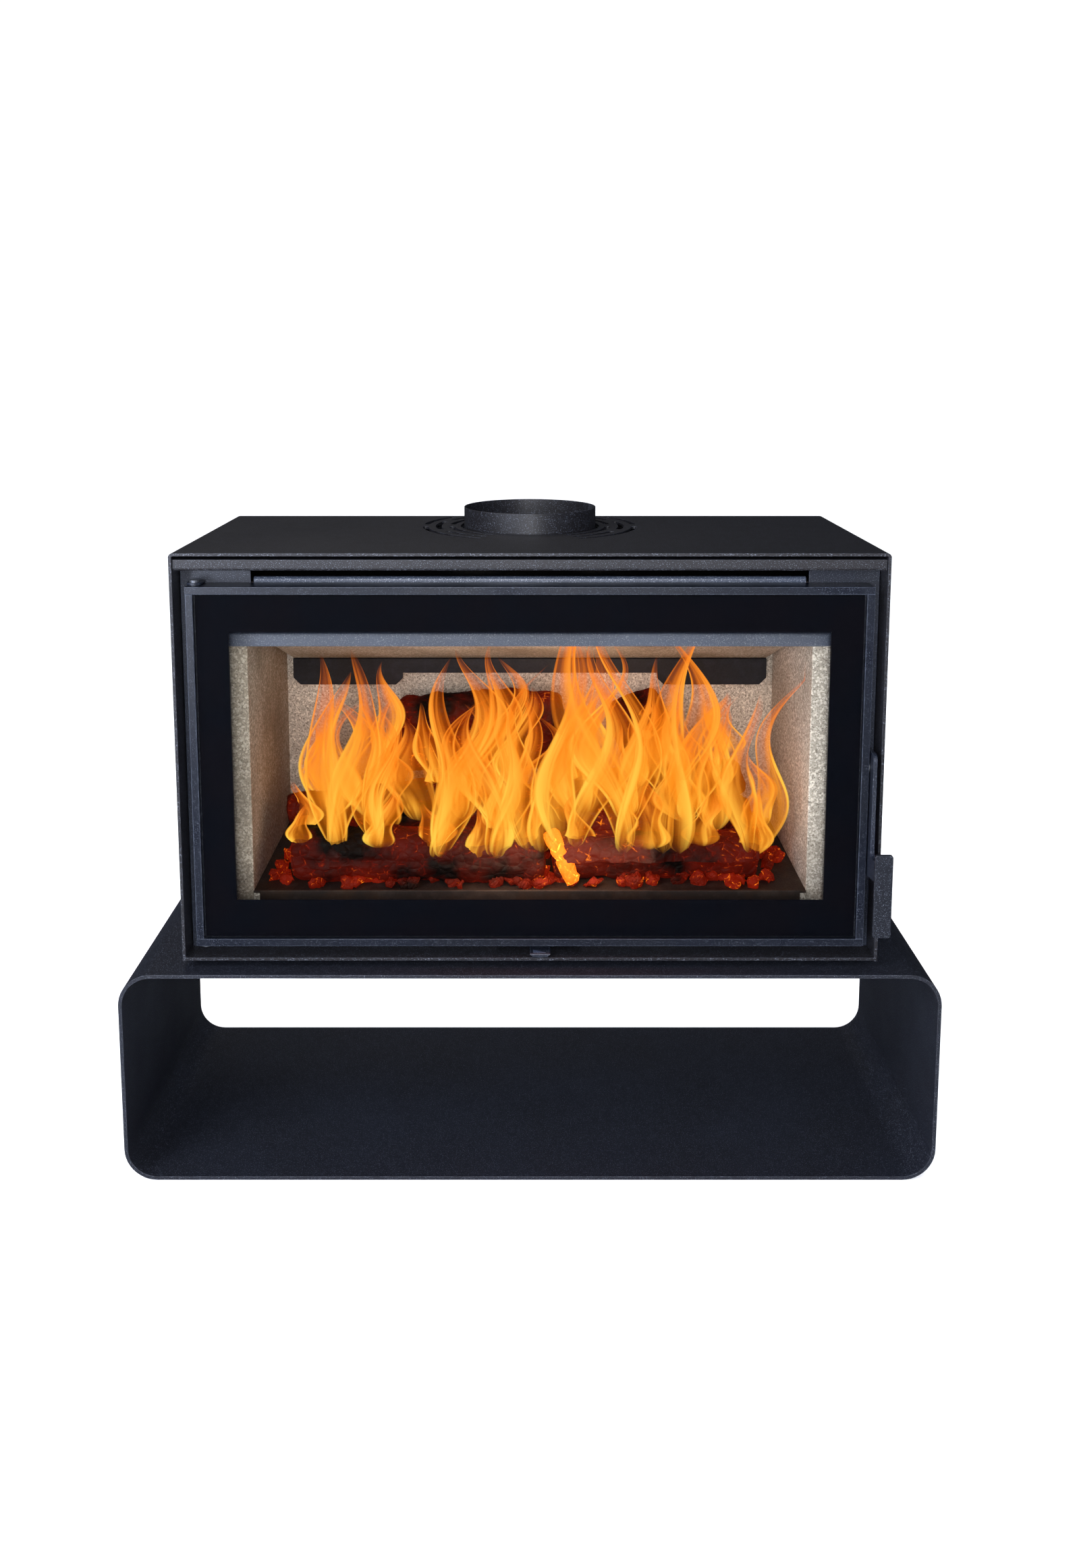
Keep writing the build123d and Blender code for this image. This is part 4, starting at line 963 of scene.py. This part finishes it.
@dataclass
class Door(SubAssembly):
    """The glazed door: four bars, the pane with its printed border, the backing and the rope."""

    body = Body.DOOR
    rounding_mm: float = 1.1
    window_side_mm: float = 49.6  # from the pane's edge to the clear window
    window_low_mm: float = 52.6
    window_high_mm: float = 56.6
    ink_inset_mm: float = 0.4
    ink_mm: float = 0.2
    dot_rows: int = 4
    dot_pitch_mm: float = 1.6
    dot_radius_mm: float = 0.8
    rope_corner_mm: float = 22.0
    rope_step_mm: float = 3.4
    rope_yarns: int = 5
    core_share: float = 0.72  # these four are shares of the rope's radius
    yarn_share: float = 0.24
    wind_share: float = 0.76
    turn_share: float = 5.0

    def build(self) -> None:
        """Rounds the bars, prints the pane and knits the rope."""
        self.soften(RAIL_PAINT, Slot.DOOR_PAINT, self.rounding_mm, "door_bottom_rail", "door_top_rail",
                    "door_left_stile", "door_right_stile")
        self.dress(PANE, "door_glass")
        self.dress(TAPE, "glass_gasket")
        self.dress(FRONT_PAINT, "door_backing", "rope_channel")
        self.print_border()
        self.print_dots()
        self.knit_rope()

    def window(self) -> tuple[Vector, Vector]:
        """Returns the clear window's lowest and highest corner, on the back of the pane."""
        low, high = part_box("door_glass")
        ink_y = high.y - self.ink_mm * MM
        side = self.window_side_mm * MM
        return (Vector((low.x + side, ink_y, low.z + self.window_low_mm * MM)),
                Vector((high.x - side, ink_y, high.z - self.window_high_mm * MM)))

    def print_border(self) -> None:
        """Makes the solid part of the printed border, a thin ring inside the pane's back face."""
        low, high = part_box("door_glass")
        inset = self.ink_inset_mm * MM
        outer = [(low.x + inset, low.z + inset), (high.x - inset, low.z + inset),
                 (high.x - inset, high.z - inset), (low.x + inset, high.z - inset)]
        inner_low, inner_high = self.window()
        fade = self.dot_rows * self.dot_pitch_mm * MM
        inner = [(inner_low.x - fade, inner_low.z), (inner_high.x + fade, inner_low.z),
                 (inner_high.x + fade, inner_high.z + fade), (inner_low.x - fade, inner_high.z + fade)]
        shape = bmesh.new()
        layers = []
        for depth in (inner_low.y, inner_low.y + self.ink_mm * MM / 2):
            layers.append([[shape.verts.new((x, depth, z)) for x, z in ring] for ring in (outer, inner)])
        (front_out, front_in), (back_out, back_in) = layers
        for first, second in ((front_out, front_in), (back_out, back_in), (front_out, back_out),
                              (front_in, back_in)):
            bridge(shape, first, second)
        self.hand_in_shape(shape, "printed_border", INK, Slot.GLASS)

    def print_dots(self) -> None:
        """Makes the rows of dots that fade the border out at the top and the two sides."""
        low, high = self.window()
        pitch = self.dot_pitch_mm * MM
        paths, sizes = [], []
        for row in range(self.dot_rows):
            shift = (self.dot_rows - row - 0.5) * pitch
            left, right, top = low.x - shift, high.x + shift, high.z + shift
            paths.append([Vector((left, low.y, low.z)), Vector((left, low.y, top)),
                          Vector((right, low.y, top)), Vector((right, low.y, low.z))])
            sizes.append(1 - row / self.dot_rows)
        inputs = {"Pitch": pitch, "Dot Radius": self.dot_radius_mm * MM, "Thickness": self.ink_mm * MM / 2,
                  "Corners": 6}
        recipe = Recipe("fading_dots", inputs, INK)
        line = put(recipe.tree, "GeometryNodeMeshToCurve", {"Mesh": recipe.value("Geometry")})
        even = put(recipe.tree, "GeometryNodeResampleCurve", {
            "Curve": line.outputs["Curve"], "Length": recipe.value("Pitch")}, mode="LENGTH")
        dot = put(recipe.tree, "GeometryNodeMeshCylinder", {
            "Vertices": recipe.value("Corners"), "Radius": recipe.value("Dot Radius"),
            "Depth": recipe.value("Thickness")})
        size = put(recipe.tree, "GeometryNodeInputNamedAttribute", {"Name": "size"}, data_type="FLOAT")
        placed = put(recipe.tree, "GeometryNodeInstanceOnPoints", {
            "Points": even.outputs["Curve"], "Instance": dot.outputs["Mesh"],
            "Rotation": (math.pi / 2, 0.0, 0.0), "Scale": size.outputs["Attribute"]})
        recipe.end(placed.outputs["Instances"])
        self.hand_in(recipe.run("printed_dots", path_mesh("dot_rows", paths, sizes)), Slot.GLASS)

    def knit_rope(self) -> None:
        """Knits the door seal: yarns that wind both ways round a core, along the channel."""
        low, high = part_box("seal_rope")
        radius = (high.y - low.y) / 2
        centre = (low + high) / 2
        around = 2 * (high.x - low.x + high.z - low.z)
        inputs = {"Wide": high.x - low.x - 2 * radius, "High": high.z - low.z - 2 * radius,
                  "Corner": self.rope_corner_mm * MM, "Core Radius": self.core_share * radius,
                  "Yarn Radius": self.yarn_share * radius, "Wind Radius": self.wind_share * radius,
                  "Turns": round(around / (self.turn_share * radius)), "Step": self.rope_step_mm * MM,
                  "Yarns": self.rope_yarns}
        recipe = Recipe("knitted_rope", inputs, ROPE)
        tree = recipe.tree
        box = put(tree, "GeometryNodeCurvePrimitiveQuadrilateral", {
            "Width": recipe.value("Wide"), "Height": recipe.value("High")}, mode="RECTANGLE")
        bent = put(tree, "GeometryNodeFilletCurve", {
            "Curve": box.outputs["Curve"], "Radius": recipe.value("Corner"), "Count": 8}, mode="POLY")
        even = put(tree, "GeometryNodeResampleCurve", {
            "Curve": bent.outputs["Curve"], "Length": recipe.value("Step")}, mode="LENGTH")
        along = put(tree, "GeometryNodeSplineParameter").outputs["Factor"]
        kept = put(tree, "GeometryNodeCaptureAttribute", {
            "Geometry": even.outputs["Curve"]}, domain="POINT")
        tangent = put(tree, "GeometryNodeInputTangent").outputs["Tangent"]
        for label, kind, socket in (("Along", "FLOAT", along), ("Way", "VECTOR", tangent)):
            kept.capture_items.new(kind, label)
            tree.links.new(socket, kept.inputs[label])
        ring = put(tree, "GeometryNodeCurvePrimitiveCircle", {
            "Resolution": 12, "Radius": recipe.value("Core Radius")})
        core = put(tree, "GeometryNodeCurveToMesh", {
            "Curve": kept.outputs["Geometry"], "Profile Curve": ring.outputs["Curve"]}).outputs["Mesh"]
        yarn_ring = put(tree, "GeometryNodeCurvePrimitiveCircle", {
            "Resolution": 5, "Radius": recipe.value("Yarn Radius")})
        parts = [core]
        for way in (1.0, -1.0):
            copies = put(tree, "GeometryNodeDuplicateElements", {
                "Geometry": kept.outputs["Geometry"], "Amount": recipe.value("Yarns")}, domain="SPLINE")
            start = put(tree, "ShaderNodeMath", {
                0: copies.outputs["Duplicate Index"], 1: recipe.value("Yarns")}, operation="DIVIDE")
            wound_on = put(tree, "ShaderNodeMath", {
                0: kept.outputs["Along"], 1: recipe.value("Turns")}, operation="MULTIPLY")
            turns = put(tree, "ShaderNodeMath", {0: wound_on, 1: way, 2: start}, operation="MULTIPLY_ADD")
            angle = put(tree, "ShaderNodeMath", {0: turns, 1: math.tau}, operation="MULTIPLY")
            waves = [put(tree, "ShaderNodeMath", {0: angle}, operation=kind) for kind in ("COSINE", "SINE")]
            out_of_plane, in_plane = (put(tree, "ShaderNodeMath", {
                0: wave, 1: recipe.value("Wind Radius")}, operation="MULTIPLY") for wave in waves)
            sideways = put(tree, "ShaderNodeVectorMath", {
                0: kept.outputs["Way"], 1: (0.0, 0.0, 1.0)}, operation="CROSS_PRODUCT").outputs["Vector"]
            shift = put(tree, "ShaderNodeVectorMath", {0: sideways, "Scale": in_plane}, operation="SCALE")
            lift = put(tree, "ShaderNodeCombineXYZ", {"Z": out_of_plane})
            offset = put(tree, "ShaderNodeVectorMath", {
                0: shift.outputs["Vector"], 1: lift.outputs["Vector"]}, operation="ADD")
            wound = put(tree, "GeometryNodeSetPosition", {
                "Geometry": copies.outputs["Geometry"], "Offset": offset.outputs["Vector"]})
            yarns = put(tree, "GeometryNodeCurveToMesh", {
                "Curve": wound.outputs["Geometry"], "Profile Curve": yarn_ring.outputs["Curve"]})
            parts.append(yarns.outputs["Mesh"])
        joined = put(tree, "GeometryNodeJoinGeometry")
        for part in parts:
            tree.links.new(part, joined.inputs[0])
        placed = put(tree, "GeometryNodeTransform", {
            "Geometry": joined.outputs["Geometry"], "Translation": tuple(centre),
            "Rotation": (math.pi / 2, 0.0, 0.0)})
        recipe.end(placed.outputs["Geometry"])
        rope = recipe.run("knitted_seal_rope", path_mesh("rope_start", [[Vector()]]))
        self.hand_in(rope, Slot.FIBRE, "seal_rope")


@dataclass
class Handle(SubAssembly):
    """The lever in the gap beside the door, its grip and its pivot."""

    rounding_mm: float = 0.5

    def build(self) -> None:
        """Rounds the lever and the grip, and dresses the pivot."""
        self.body = Body.DOOR
        self.dress(ZINC, "pivot_washer", "pivot_pin")
        self.body = Body.HANDLE
        self.soften(FRONT_PAINT, Slot.PAINT, self.rounding_mm, "handle_lever")
        self.soften(GRIP_PAINT, Slot.PAINT, self.rounding_mm, "handle_grip")


@dataclass(frozen=True)
class Split:
    """One split log: where it runs, how thick it is and how flat its split faces are."""

    name: str
    start: tuple[float, float, float]
    end: tuple[float, float, float]
    radius: float
    flatness: float
    seed: int
    finish: Finish


@dataclass(frozen=True)
class FlameRow:
    """One row of flames: where it stands, in metres from the hearth's middle, and its flames' sizes."""

    depth: float
    low: float
    short: float
    tall: float
    slim: float  # half the width, as a share of the height
    stout: float
    count: int
    sheets: int
    reach: float = 0.87


@dataclass
class Fire(SubAssembly):
    """The burning logs, coals and flames, which stand on the hearth and are looks only."""

    seed: int = 23
    flame_depth: float = 0.12  # half a flame's thickness, as a share of half its width
    flame_steps: int = 38  # from root to tip
    flame_across: int = 6  # over each side of the skin
    ring_gap_mm: float = 5.5  # along a log
    ring_points: int = 44
    crack_depth_mm: float = 3.2
    coal_floor_mm: float = 6.0  # over the hearth plate

    def build(self) -> None:
        """Lays the logs and coals, and lights the flames."""
        low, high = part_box("hearth_plate")
        self.hearth = Vector(((low.x + high.x) / 2, (low.y + high.y) / 2, high.z))
        self.half_wide, self.half_deep = (high.x - low.x) / 2, (high.y - low.y) / 2
        for split in self.stack():
            self.lay(split)
        self.scatter_coals()
        self.light()

    def stack(self) -> list[Split]:
        """Returns the logs of the stack, in metres from the middle of the hearth's top."""
        return [
            Split("front_log", (-0.338, -0.092, 0.036), (0.020, -0.100, 0.038), 0.039, 0.25, 1, CHAR),
            Split("front_right_log", (0.035, -0.098, 0.037), (0.325, -0.090, 0.036), 0.038, 0.3, 10, CHAR),
            Split("second_log", (-0.330, -0.005, 0.040), (0.330, 0.004, 0.045), 0.042, 0.3, 2, CHAR),
            Split("rear_log", (-0.300, 0.085, 0.040), (0.320, 0.090, 0.042), 0.040, 0.3, 3, CHAR),
            Split("upper_left_log", (-0.352, -0.062, 0.088), (-0.060, 0.000, 0.100), 0.028, 0.2, 4, CHAR),
            Split("upper_right_log", (0.020, -0.030, 0.100), (0.320, 0.030, 0.104), 0.032, 0.3, 5, CHAR),
            Split("cross_log", (-0.200, 0.060, 0.165), (0.050, 0.075, 0.170), 0.062, 0.55, 6, CHAR),
            Split("back_log", (0.140, 0.085, 0.150), (0.215, 0.080, 0.185), 0.055, 0.5, 7, CHAR),
            Split("leaning_log", (-0.235, 0.005, 0.070), (-0.178, 0.050, 0.185), 0.026, 0.4, 8, CHAR),
            Split("hot_stick", (0.062, -0.134, 0.008), (0.028, -0.118, 0.078), 0.012, 0.3, 9, HOT_WOOD),
        ]

    def lay(self, split: Split) -> None:
        """Makes one charred log with split faces, end cracks and char blocks.

        Args:
            split: the log.
        """
        start, end = Vector(split.start), Vector(split.end)
        length = (end - start).length
        steps, turns = max(int(length / (self.ring_gap_mm * MM)), 12), self.ring_points
        grain = (end - start).normalized()
        side = grain.cross(Vector((0, 0, 1))).normalized()
        up = side.cross(grain)
        drift = Vector((split.seed * 7.3, split.seed * 3.1, split.seed * 5.7))
        shape = bmesh.new()
        rings = []
        for step in range(steps + 1):
            share = step / steps
            core = self.hearth + start.lerp(end, share)
            close = min(share, 1 - share) * length  # to the nearer end
            taper = 1 - 0.16 * max(0.0, 1 - close / (0.4 * split.radius)) ** 2
            ring = []
            for turn in range(turns):
                angle = math.tau * turn / turns
                faces = max(0.0, math.cos(1.5 * angle + split.seed))
                radius = split.radius * taper * (1 - split.flatness * faces**2)
                out = side * math.cos(angle) + up * math.sin(angle)
                spot = core + out * radius
                bumps = 0.16 * split.radius * noise.noise(spot * 26 + drift)
                local = Vector((spot.dot(grain) * 0.6, spot.dot(side), spot.dot(up)))
                gaps, _ = noise.voronoi(local * 62 + drift)
                crack = -self.crack_depth_mm * MM * max(0.0, 1 - (gaps[1] - gaps[0]) / 0.22)
                ring.append(shape.verts.new(core + out * (radius + bumps + crack)))
            rings.append(ring)
        for first, second in zip(rings, rings[1:]):
            bridge(shape, first, second)
        for ring, way in ((rings[0], -1), (rings[-1], 1)):
            self.cap(shape, ring, grain * way, split.radius, drift)
        self.hand_in_shape(shape, split.name, split.finish, None, 50.0)

    def cap(self, shape: bmesh.types.BMesh, ring: list[bmesh.types.BMVert], way: Vector, radius: float,
            drift: Vector) -> None:
        """Closes a log's end with a rough, slightly crowned face.

        Args:
            shape: the log's bmesh.
            ring: its last ring.
            way: the direction that the end faces.
            radius: the log's radius.
            drift: the offset that makes its noise its own.
        """
        middle = sum((v.co for v in ring), Vector()) / len(ring)
        outer = ring
        for share in (0.8, 0.55, 0.3):
            inner = []
            for vert in ring:
                spot = middle + (vert.co - middle) * share
                rough = 0.05 * radius * noise.noise(spot * 90 + drift)
                inner.append(shape.verts.new(spot + way * (0.10 * radius * (1 - share) + rough)))
            bridge(shape, outer, inner)
            outer = inner
        centre = shape.verts.new(middle + way * 0.1 * radius)
        for step in range(len(ring)):
            shape.faces.new((outer[step], outer[(step + 1) % len(ring)], centre))

    def scatter_coals(self) -> None:
        """Scatters glowing coals between the logs, on the hearth plate."""
        wide, deep = 0.95 * self.half_wide, 0.93 * self.half_deep
        bed = bpy.data.meshes.new("coal_bed")
        floor = self.hearth + Vector((0, 0, self.coal_floor_mm * MM))
        corners = [floor + Vector((x * wide, y * deep, 0)) for x, y in ((-1, -1), (1, -1), (1, 1), (-1, 1))]
        bed.from_pydata(corners, [], [(0, 1, 2, 3)])
        inputs = {"Density": 2300.0, "Coal Size": 0.010, "Roughness": 0.5, "Seed": 11}
        recipe = Recipe("scattered_coals", inputs, COALS)
        tree = recipe.tree
        spots = put(tree, "GeometryNodeDistributePointsOnFaces", {
            "Mesh": recipe.value("Geometry"), "Density": recipe.value("Density"),
            "Seed": recipe.value("Seed")})
        ball = put(tree, "GeometryNodeMeshIcoSphere", {
            "Radius": recipe.value("Coal Size"), "Subdivisions": 2})
        turn = put(tree, "FunctionNodeRandomValue", {
            "Min": (0.0, 0.0, 0.0), "Max": (math.tau, math.tau, math.tau), "Seed": recipe.value("Seed")},
            data_type="FLOAT_VECTOR")
        size = put(tree, "FunctionNodeRandomValue", {
            "Min": (0.5, 0.5, 0.4), "Max": (1.5, 1.2, 1.1), "Seed": recipe.value("Seed")},
            data_type="FLOAT_VECTOR")
        placed = put(tree, "GeometryNodeInstanceOnPoints", {
            "Points": spots.outputs["Points"], "Instance": ball.outputs["Mesh"],
            "Rotation": turn.outputs["Value"], "Scale": size.outputs["Value"]})
        real = put(tree, "GeometryNodeRealizeInstances", {"Geometry": placed.outputs["Instances"]})
        rough = put(tree, "ShaderNodeTexNoise", {"Scale": 110.0, "Detail": 1.0})
        centred = put(tree, "ShaderNodeVectorMath", {
            0: rough.outputs["Color"], 1: (0.5, 0.5, 0.5)}, operation="SUBTRACT")
        reach = put(tree, "ShaderNodeMath", {
            0: recipe.value("Roughness"), 1: recipe.value("Coal Size")}, operation="MULTIPLY")
        spread = put(tree, "ShaderNodeMath", {0: reach, 1: 4.0}, operation="MULTIPLY")
        offset = put(tree, "ShaderNodeVectorMath", {
            0: centred.outputs["Vector"], "Scale": spread}, operation="SCALE")
        moved = put(tree, "GeometryNodeSetPosition", {
            "Geometry": real.outputs["Geometry"], "Offset": offset.outputs["Vector"]})
        recipe.end(moved.outputs["Geometry"])
        self.hand_in(recipe.run("ember_coals", bed), None)

    def light(self) -> None:
        """Makes the flames: rows of thin closed skins that rise from the logs."""
        chance = random.Random(self.seed)
        shape = bmesh.new()
        layer = shape.loops.layers.uv.new(FLAME_MAP)
        number = 0
        for row in self.rows():
            for place in range(row.count):
                share = (place + 0.5 + chance.uniform(-0.4, 0.4)) / row.count * 2 - 1
                swell = math.sqrt(max(0.0, 1 - (share - 0.12) ** 2 / 1.5))
                height = chance.uniform(row.short, row.tall) * (0.55 + 0.45 * swell)
                root = self.hearth + Vector((share * row.reach * self.half_wide,
                                             row.depth + chance.uniform(-0.01, 0.01),
                                             row.low + chance.uniform(-0.012, 0.016)))
                for _ in range(row.sheets):
                    start = root + Vector((chance.uniform(-0.014, 0.014), 0, 0))
                    tall = height * chance.uniform(0.75, 1.0)
                    self.tongue(shape, layer, start, tall, row, chance, number)
                    number += 1
        bmesh.ops.remove_doubles(shape, verts=shape.verts, dist=0.001 * MM)
        self.hand_in_shape(shape, "flames", FLAME, None, 180.0)

    def rows(self) -> list[FlameRow]:
        """Returns the rows of flames, from the front to the back, lower under the baffle."""
        return [
            FlameRow(depth=-0.126, low=0.050, short=0.22, tall=0.42, slim=0.050, stout=0.080,
                     count=9, sheets=2),
            FlameRow(depth=-0.118, low=0.044, short=0.08, tall=0.15, slim=0.16, stout=0.26,
                     count=9, sheets=1),
            FlameRow(depth=-0.085, low=0.072, short=0.22, tall=0.30, slim=0.075, stout=0.12,
                     count=8, sheets=2),
            FlameRow(depth=-0.075, low=0.066, short=0.10, tall=0.18, slim=0.15, stout=0.24,
                     count=8, sheets=1),
            FlameRow(depth=-0.020, low=0.100, short=0.14, tall=0.25, slim=0.08, stout=0.14,
                     count=9, sheets=2),
            FlameRow(depth=0.040, low=0.150, short=0.06, tall=0.13, slim=0.12, stout=0.20,
                     count=6, sheets=1),
        ]

    def tongue(self, shape: bmesh.types.BMesh, layer: Any, root: Vector, height: float, row: FlameRow,
               chance: random.Random, number: int) -> None:
        """Adds one flame: a thin closed skin that sways, twists and comes to a point.

        Args:
            shape: the flames' bmesh.
            layer: the map that the finish reads.
            root: where the flame starts.
            height: how tall it is.
            row: the row it stands in.
            chance: the seeded draws.
            number: the flame's number, which shifts its map so that no two look alike.
        """
        steps, across = self.flame_steps, self.flame_across
        width = height * chance.uniform(row.slim, row.stout) + 0.005
        sway, waves, phase = height * chance.uniform(0.06, 0.15), chance.uniform(0.75, 1.3), chance.random()
        lean = height * chance.uniform(-0.2, 0.2)
        mirrored, wall = chance.random() < 0.5, 0.985 * self.half_wide
        ripple, turn, twist = chance.uniform(0.1, 0.4), chance.uniform(-0.5, 0.5), chance.uniform(-1.6, 1.6)
        columns = [min(spot, 2 * across - spot) for spot in range(2 * across)]
        rings = []
        for step in range(steps + 1):
            rise = step / steps
            wave = math.sin(math.tau * (waves * rise + phase)) - math.sin(math.tau * phase)
            centre = root + Vector((sway * wave * rise**0.5 + lean * rise * rise, 0.0, height * rise))
            half = width * max(0.0, math.sin(math.pi * rise**0.6)) ** 0.85
            half *= 1 + ripple * math.sin(math.tau * (1.6 * rise + 2 * phase))
            half *= step < steps
            angle = turn + twist * rise
            ring = []
            for spot, column in enumerate(columns):
                share = 2 * column / across - 1
                crown = 1 - share * share
                skin = self.flame_depth * half * crown * (-1 if spot <= across else 1)
                forward = 0.3 * share * half * math.sin(angle) - 0.3 * half * crown + skin
                place = centre + Vector((share * half * math.cos(angle), forward, 0))
                place.x = min(max(place.x, -wall), wall)
                ring.append(shape.verts.new(place))
            rings.append(ring)
        for step in range(steps):
            for spot in range(len(columns)):
                ahead = (spot + 1) % len(columns)
                face = shape.faces.new((rings[step][spot], rings[step][ahead],
                                        rings[step + 1][ahead], rings[step + 1][spot]))
                corners = ((spot, step), (ahead, step), (ahead, step + 1), (spot, step + 1))
                for loop, (corner, level) in zip(face.loops, corners):
                    share = columns[corner] / across
                    inside = 0.001 + 0.998 * (1 - share if mirrored else share)
                    loop[layer].uv = (number + inside, level / steps)


# ------------------------------------------------------------------ studio
@dataclass
class Lamp:
    """One soft lamp: where it hangs, what it faces, its size, its power and its colour."""

    name: str
    place: tuple[float, float, float]
    target: tuple[float, float, float]
    size: float
    power: float
    colour: str

    def hang(self) -> None:
        """Hangs the lamp and turns it to what it faces."""
        light = bpy.data.lights.new(self.name, "AREA")
        light.shape, light.size, light.energy = "SQUARE", self.size, self.power
        light.color = linear(self.colour)[:3]
        lamp = bpy.data.objects.new(self.name, light)
        lamp.location = self.place
        lamp.rotation_euler = (Vector(self.target) - Vector(self.place)).to_track_quat("-Z", "Y").to_euler()
        bpy.context.scene.collection.objects.link(lamp)
        log.info("hung %s", self.name)


@dataclass
class Studio:
    """The pale floor, the soft lamps and the camera, which stands a little above the stove."""

    camera_place: tuple[float, float, float] = (0.0, -1.848, 1.131)
    camera_tilt: float = 7.56  # degrees below level
    lens_mm: float = 29.54
    sensor_mm: float = 36.0
    shift_down: float = 0.1638  # of the frame's height, for the empty space above the stove
    shift_right: float = 0.0055
    floor_half: float = 14.0
    air: str = "#c9d4ee"
    backdrop: str = "#ffffff"
    air_strength: float = 0.32
    glossy_strength: float = 0.05
    floor_power: float = 3.7
    floor_light_spread: float = 120.0  # degrees
    clear_layers: int = 40  # that a ray can go through

    def build(self) -> None:
        """Sets the camera, the floor, the air and the lamps."""
        self.aim_camera()
        self.lay_floor()
        self.fill_air()
        middle = (0.0, 0.0, 0.5)
        for lamp in (
            Lamp("key_lamp", (-2.4, -2.0, 2.6), middle, 1.6, 62.0, "#f2f5ff"),
            Lamp("front_lamp", (-0.1, -3.3, 1.5), middle, 1.4, 80.0, "#f4f6ff"),
            Lamp("side_lamp", (-1.85, -2.7, 0.6), middle, 1.0, 45.0, "#dfe8ff"),
            Lamp("fill_lamp", (2.6, -2.4, 1.6), middle, 2.0, 6.0, "#dfe7ff"),
            Lamp("top_lamp", (-0.6, 0.9, 3.0), middle, 2.0, 12.0, "#fff6ea"),
        ):
            lamp.hang()
        low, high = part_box("hearth_plate")
        glow = (0.04, low.y + 0.02, high.z + 0.15)
        Lamp("fire_glow", glow, (0.0, high.y, high.z + 0.06), 0.26, 1.1, "#ffe4c6").hang()
        Lamp("ember_glow", (0.03, low.y - 0.01, high.z + 0.19), (0.02, low.y + 0.06, high.z), 0.34, 0.5,
             "#ff7a3a").hang()
        self.light_floor()
        scene = bpy.context.scene
        scene.view_settings.view_transform = "Standard"
        scene.cycles.transparent_max_bounces = self.clear_layers

    def light_floor(self) -> None:
        """Lights the floor alone from above, so that it runs white to the horizon."""
        sky = bpy.data.lights.new("floor_light", "SUN")
        sky.energy = self.floor_power
        sky.angle = math.radians(self.floor_light_spread)
        lamp = bpy.data.objects.new("floor_light", sky)
        bpy.context.scene.collection.objects.link(lamp)
        lit = bpy.data.collections.new("lit_floor")
        lit.objects.link(bpy.data.objects["floor"])
        lamp.light_linking.receiver_collection = lit

    def aim_camera(self) -> None:
        """Makes the camera and points it."""
        lens = bpy.data.cameras.new("camera")
        lens.lens, lens.sensor_width = self.lens_mm, self.sensor_mm
        lens.shift_x, lens.shift_y = self.shift_right, -self.shift_down
        camera = bpy.data.objects.new("camera", lens)
        camera.location = self.camera_place
        camera.rotation_euler = (math.radians(90 - self.camera_tilt), 0.0, 0.0)
        bpy.context.scene.collection.objects.link(camera)
        bpy.context.scene.camera = camera

    def lay_floor(self) -> None:
        """Makes the floor."""
        half = self.floor_half
        mesh = bpy.data.meshes.new("floor")
        corners = [(-half, -half, 0), (half, -half, 0), (half, half, 0), (-half, half, 0)]
        mesh.from_pydata(corners, [], [(0, 1, 2, 3)])
        mesh.materials.append(GROUND.material())
        floor = add_object("floor", mesh)
        floor.visible_glossy = False  # the paint mirrors the dark room, not the white floor

    def fill_air(self) -> None:
        """Fills the studio with soft white light, brighter to the eye than to the stove."""
        world = bpy.data.worlds.new("studio_air")
        world.use_nodes = True
        tree = world.node_tree
        tree.nodes.clear()
        path = put(tree, "ShaderNodeLightPath")
        strength = put(tree, "ShaderNodeMapRange", {
            0: path.outputs["Is Diffuse Ray"], 3: self.glossy_strength, 4: self.air_strength})
        strength = put(tree, "ShaderNodeMath", {
            0: strength, 1: path.outputs["Is Camera Ray"]}, operation="ADD")
        tint = put(tree, "ShaderNodeMix", {
            0: path.outputs["Is Camera Ray"], A: self.air, B: self.backdrop}, data_type="RGBA")
        back = put(tree, "ShaderNodeBackground", {"Color": tint, "Strength": strength})
        put(tree, "ShaderNodeOutputWorld", {"Surface": back})
        bpy.context.scene.world = world


def main() -> None:
    """Builds the studio and every sub-assembly in order."""
    logging.basicConfig(level=logging.INFO, format="%(message)s", force=True)
    Studio().build()
    for part in (Stand(), Casing(), Front(), Firebox(), AirControl(), Door(), Handle(), Fire()):
        log.info("building the %s", type(part).__name__)
        part.build()
    left = [n for n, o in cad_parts.items() if not o.hide_render and not o.data.materials]
    log.info("nodes with no finish: %s", left)


if __name__ == "__main__":
    main()
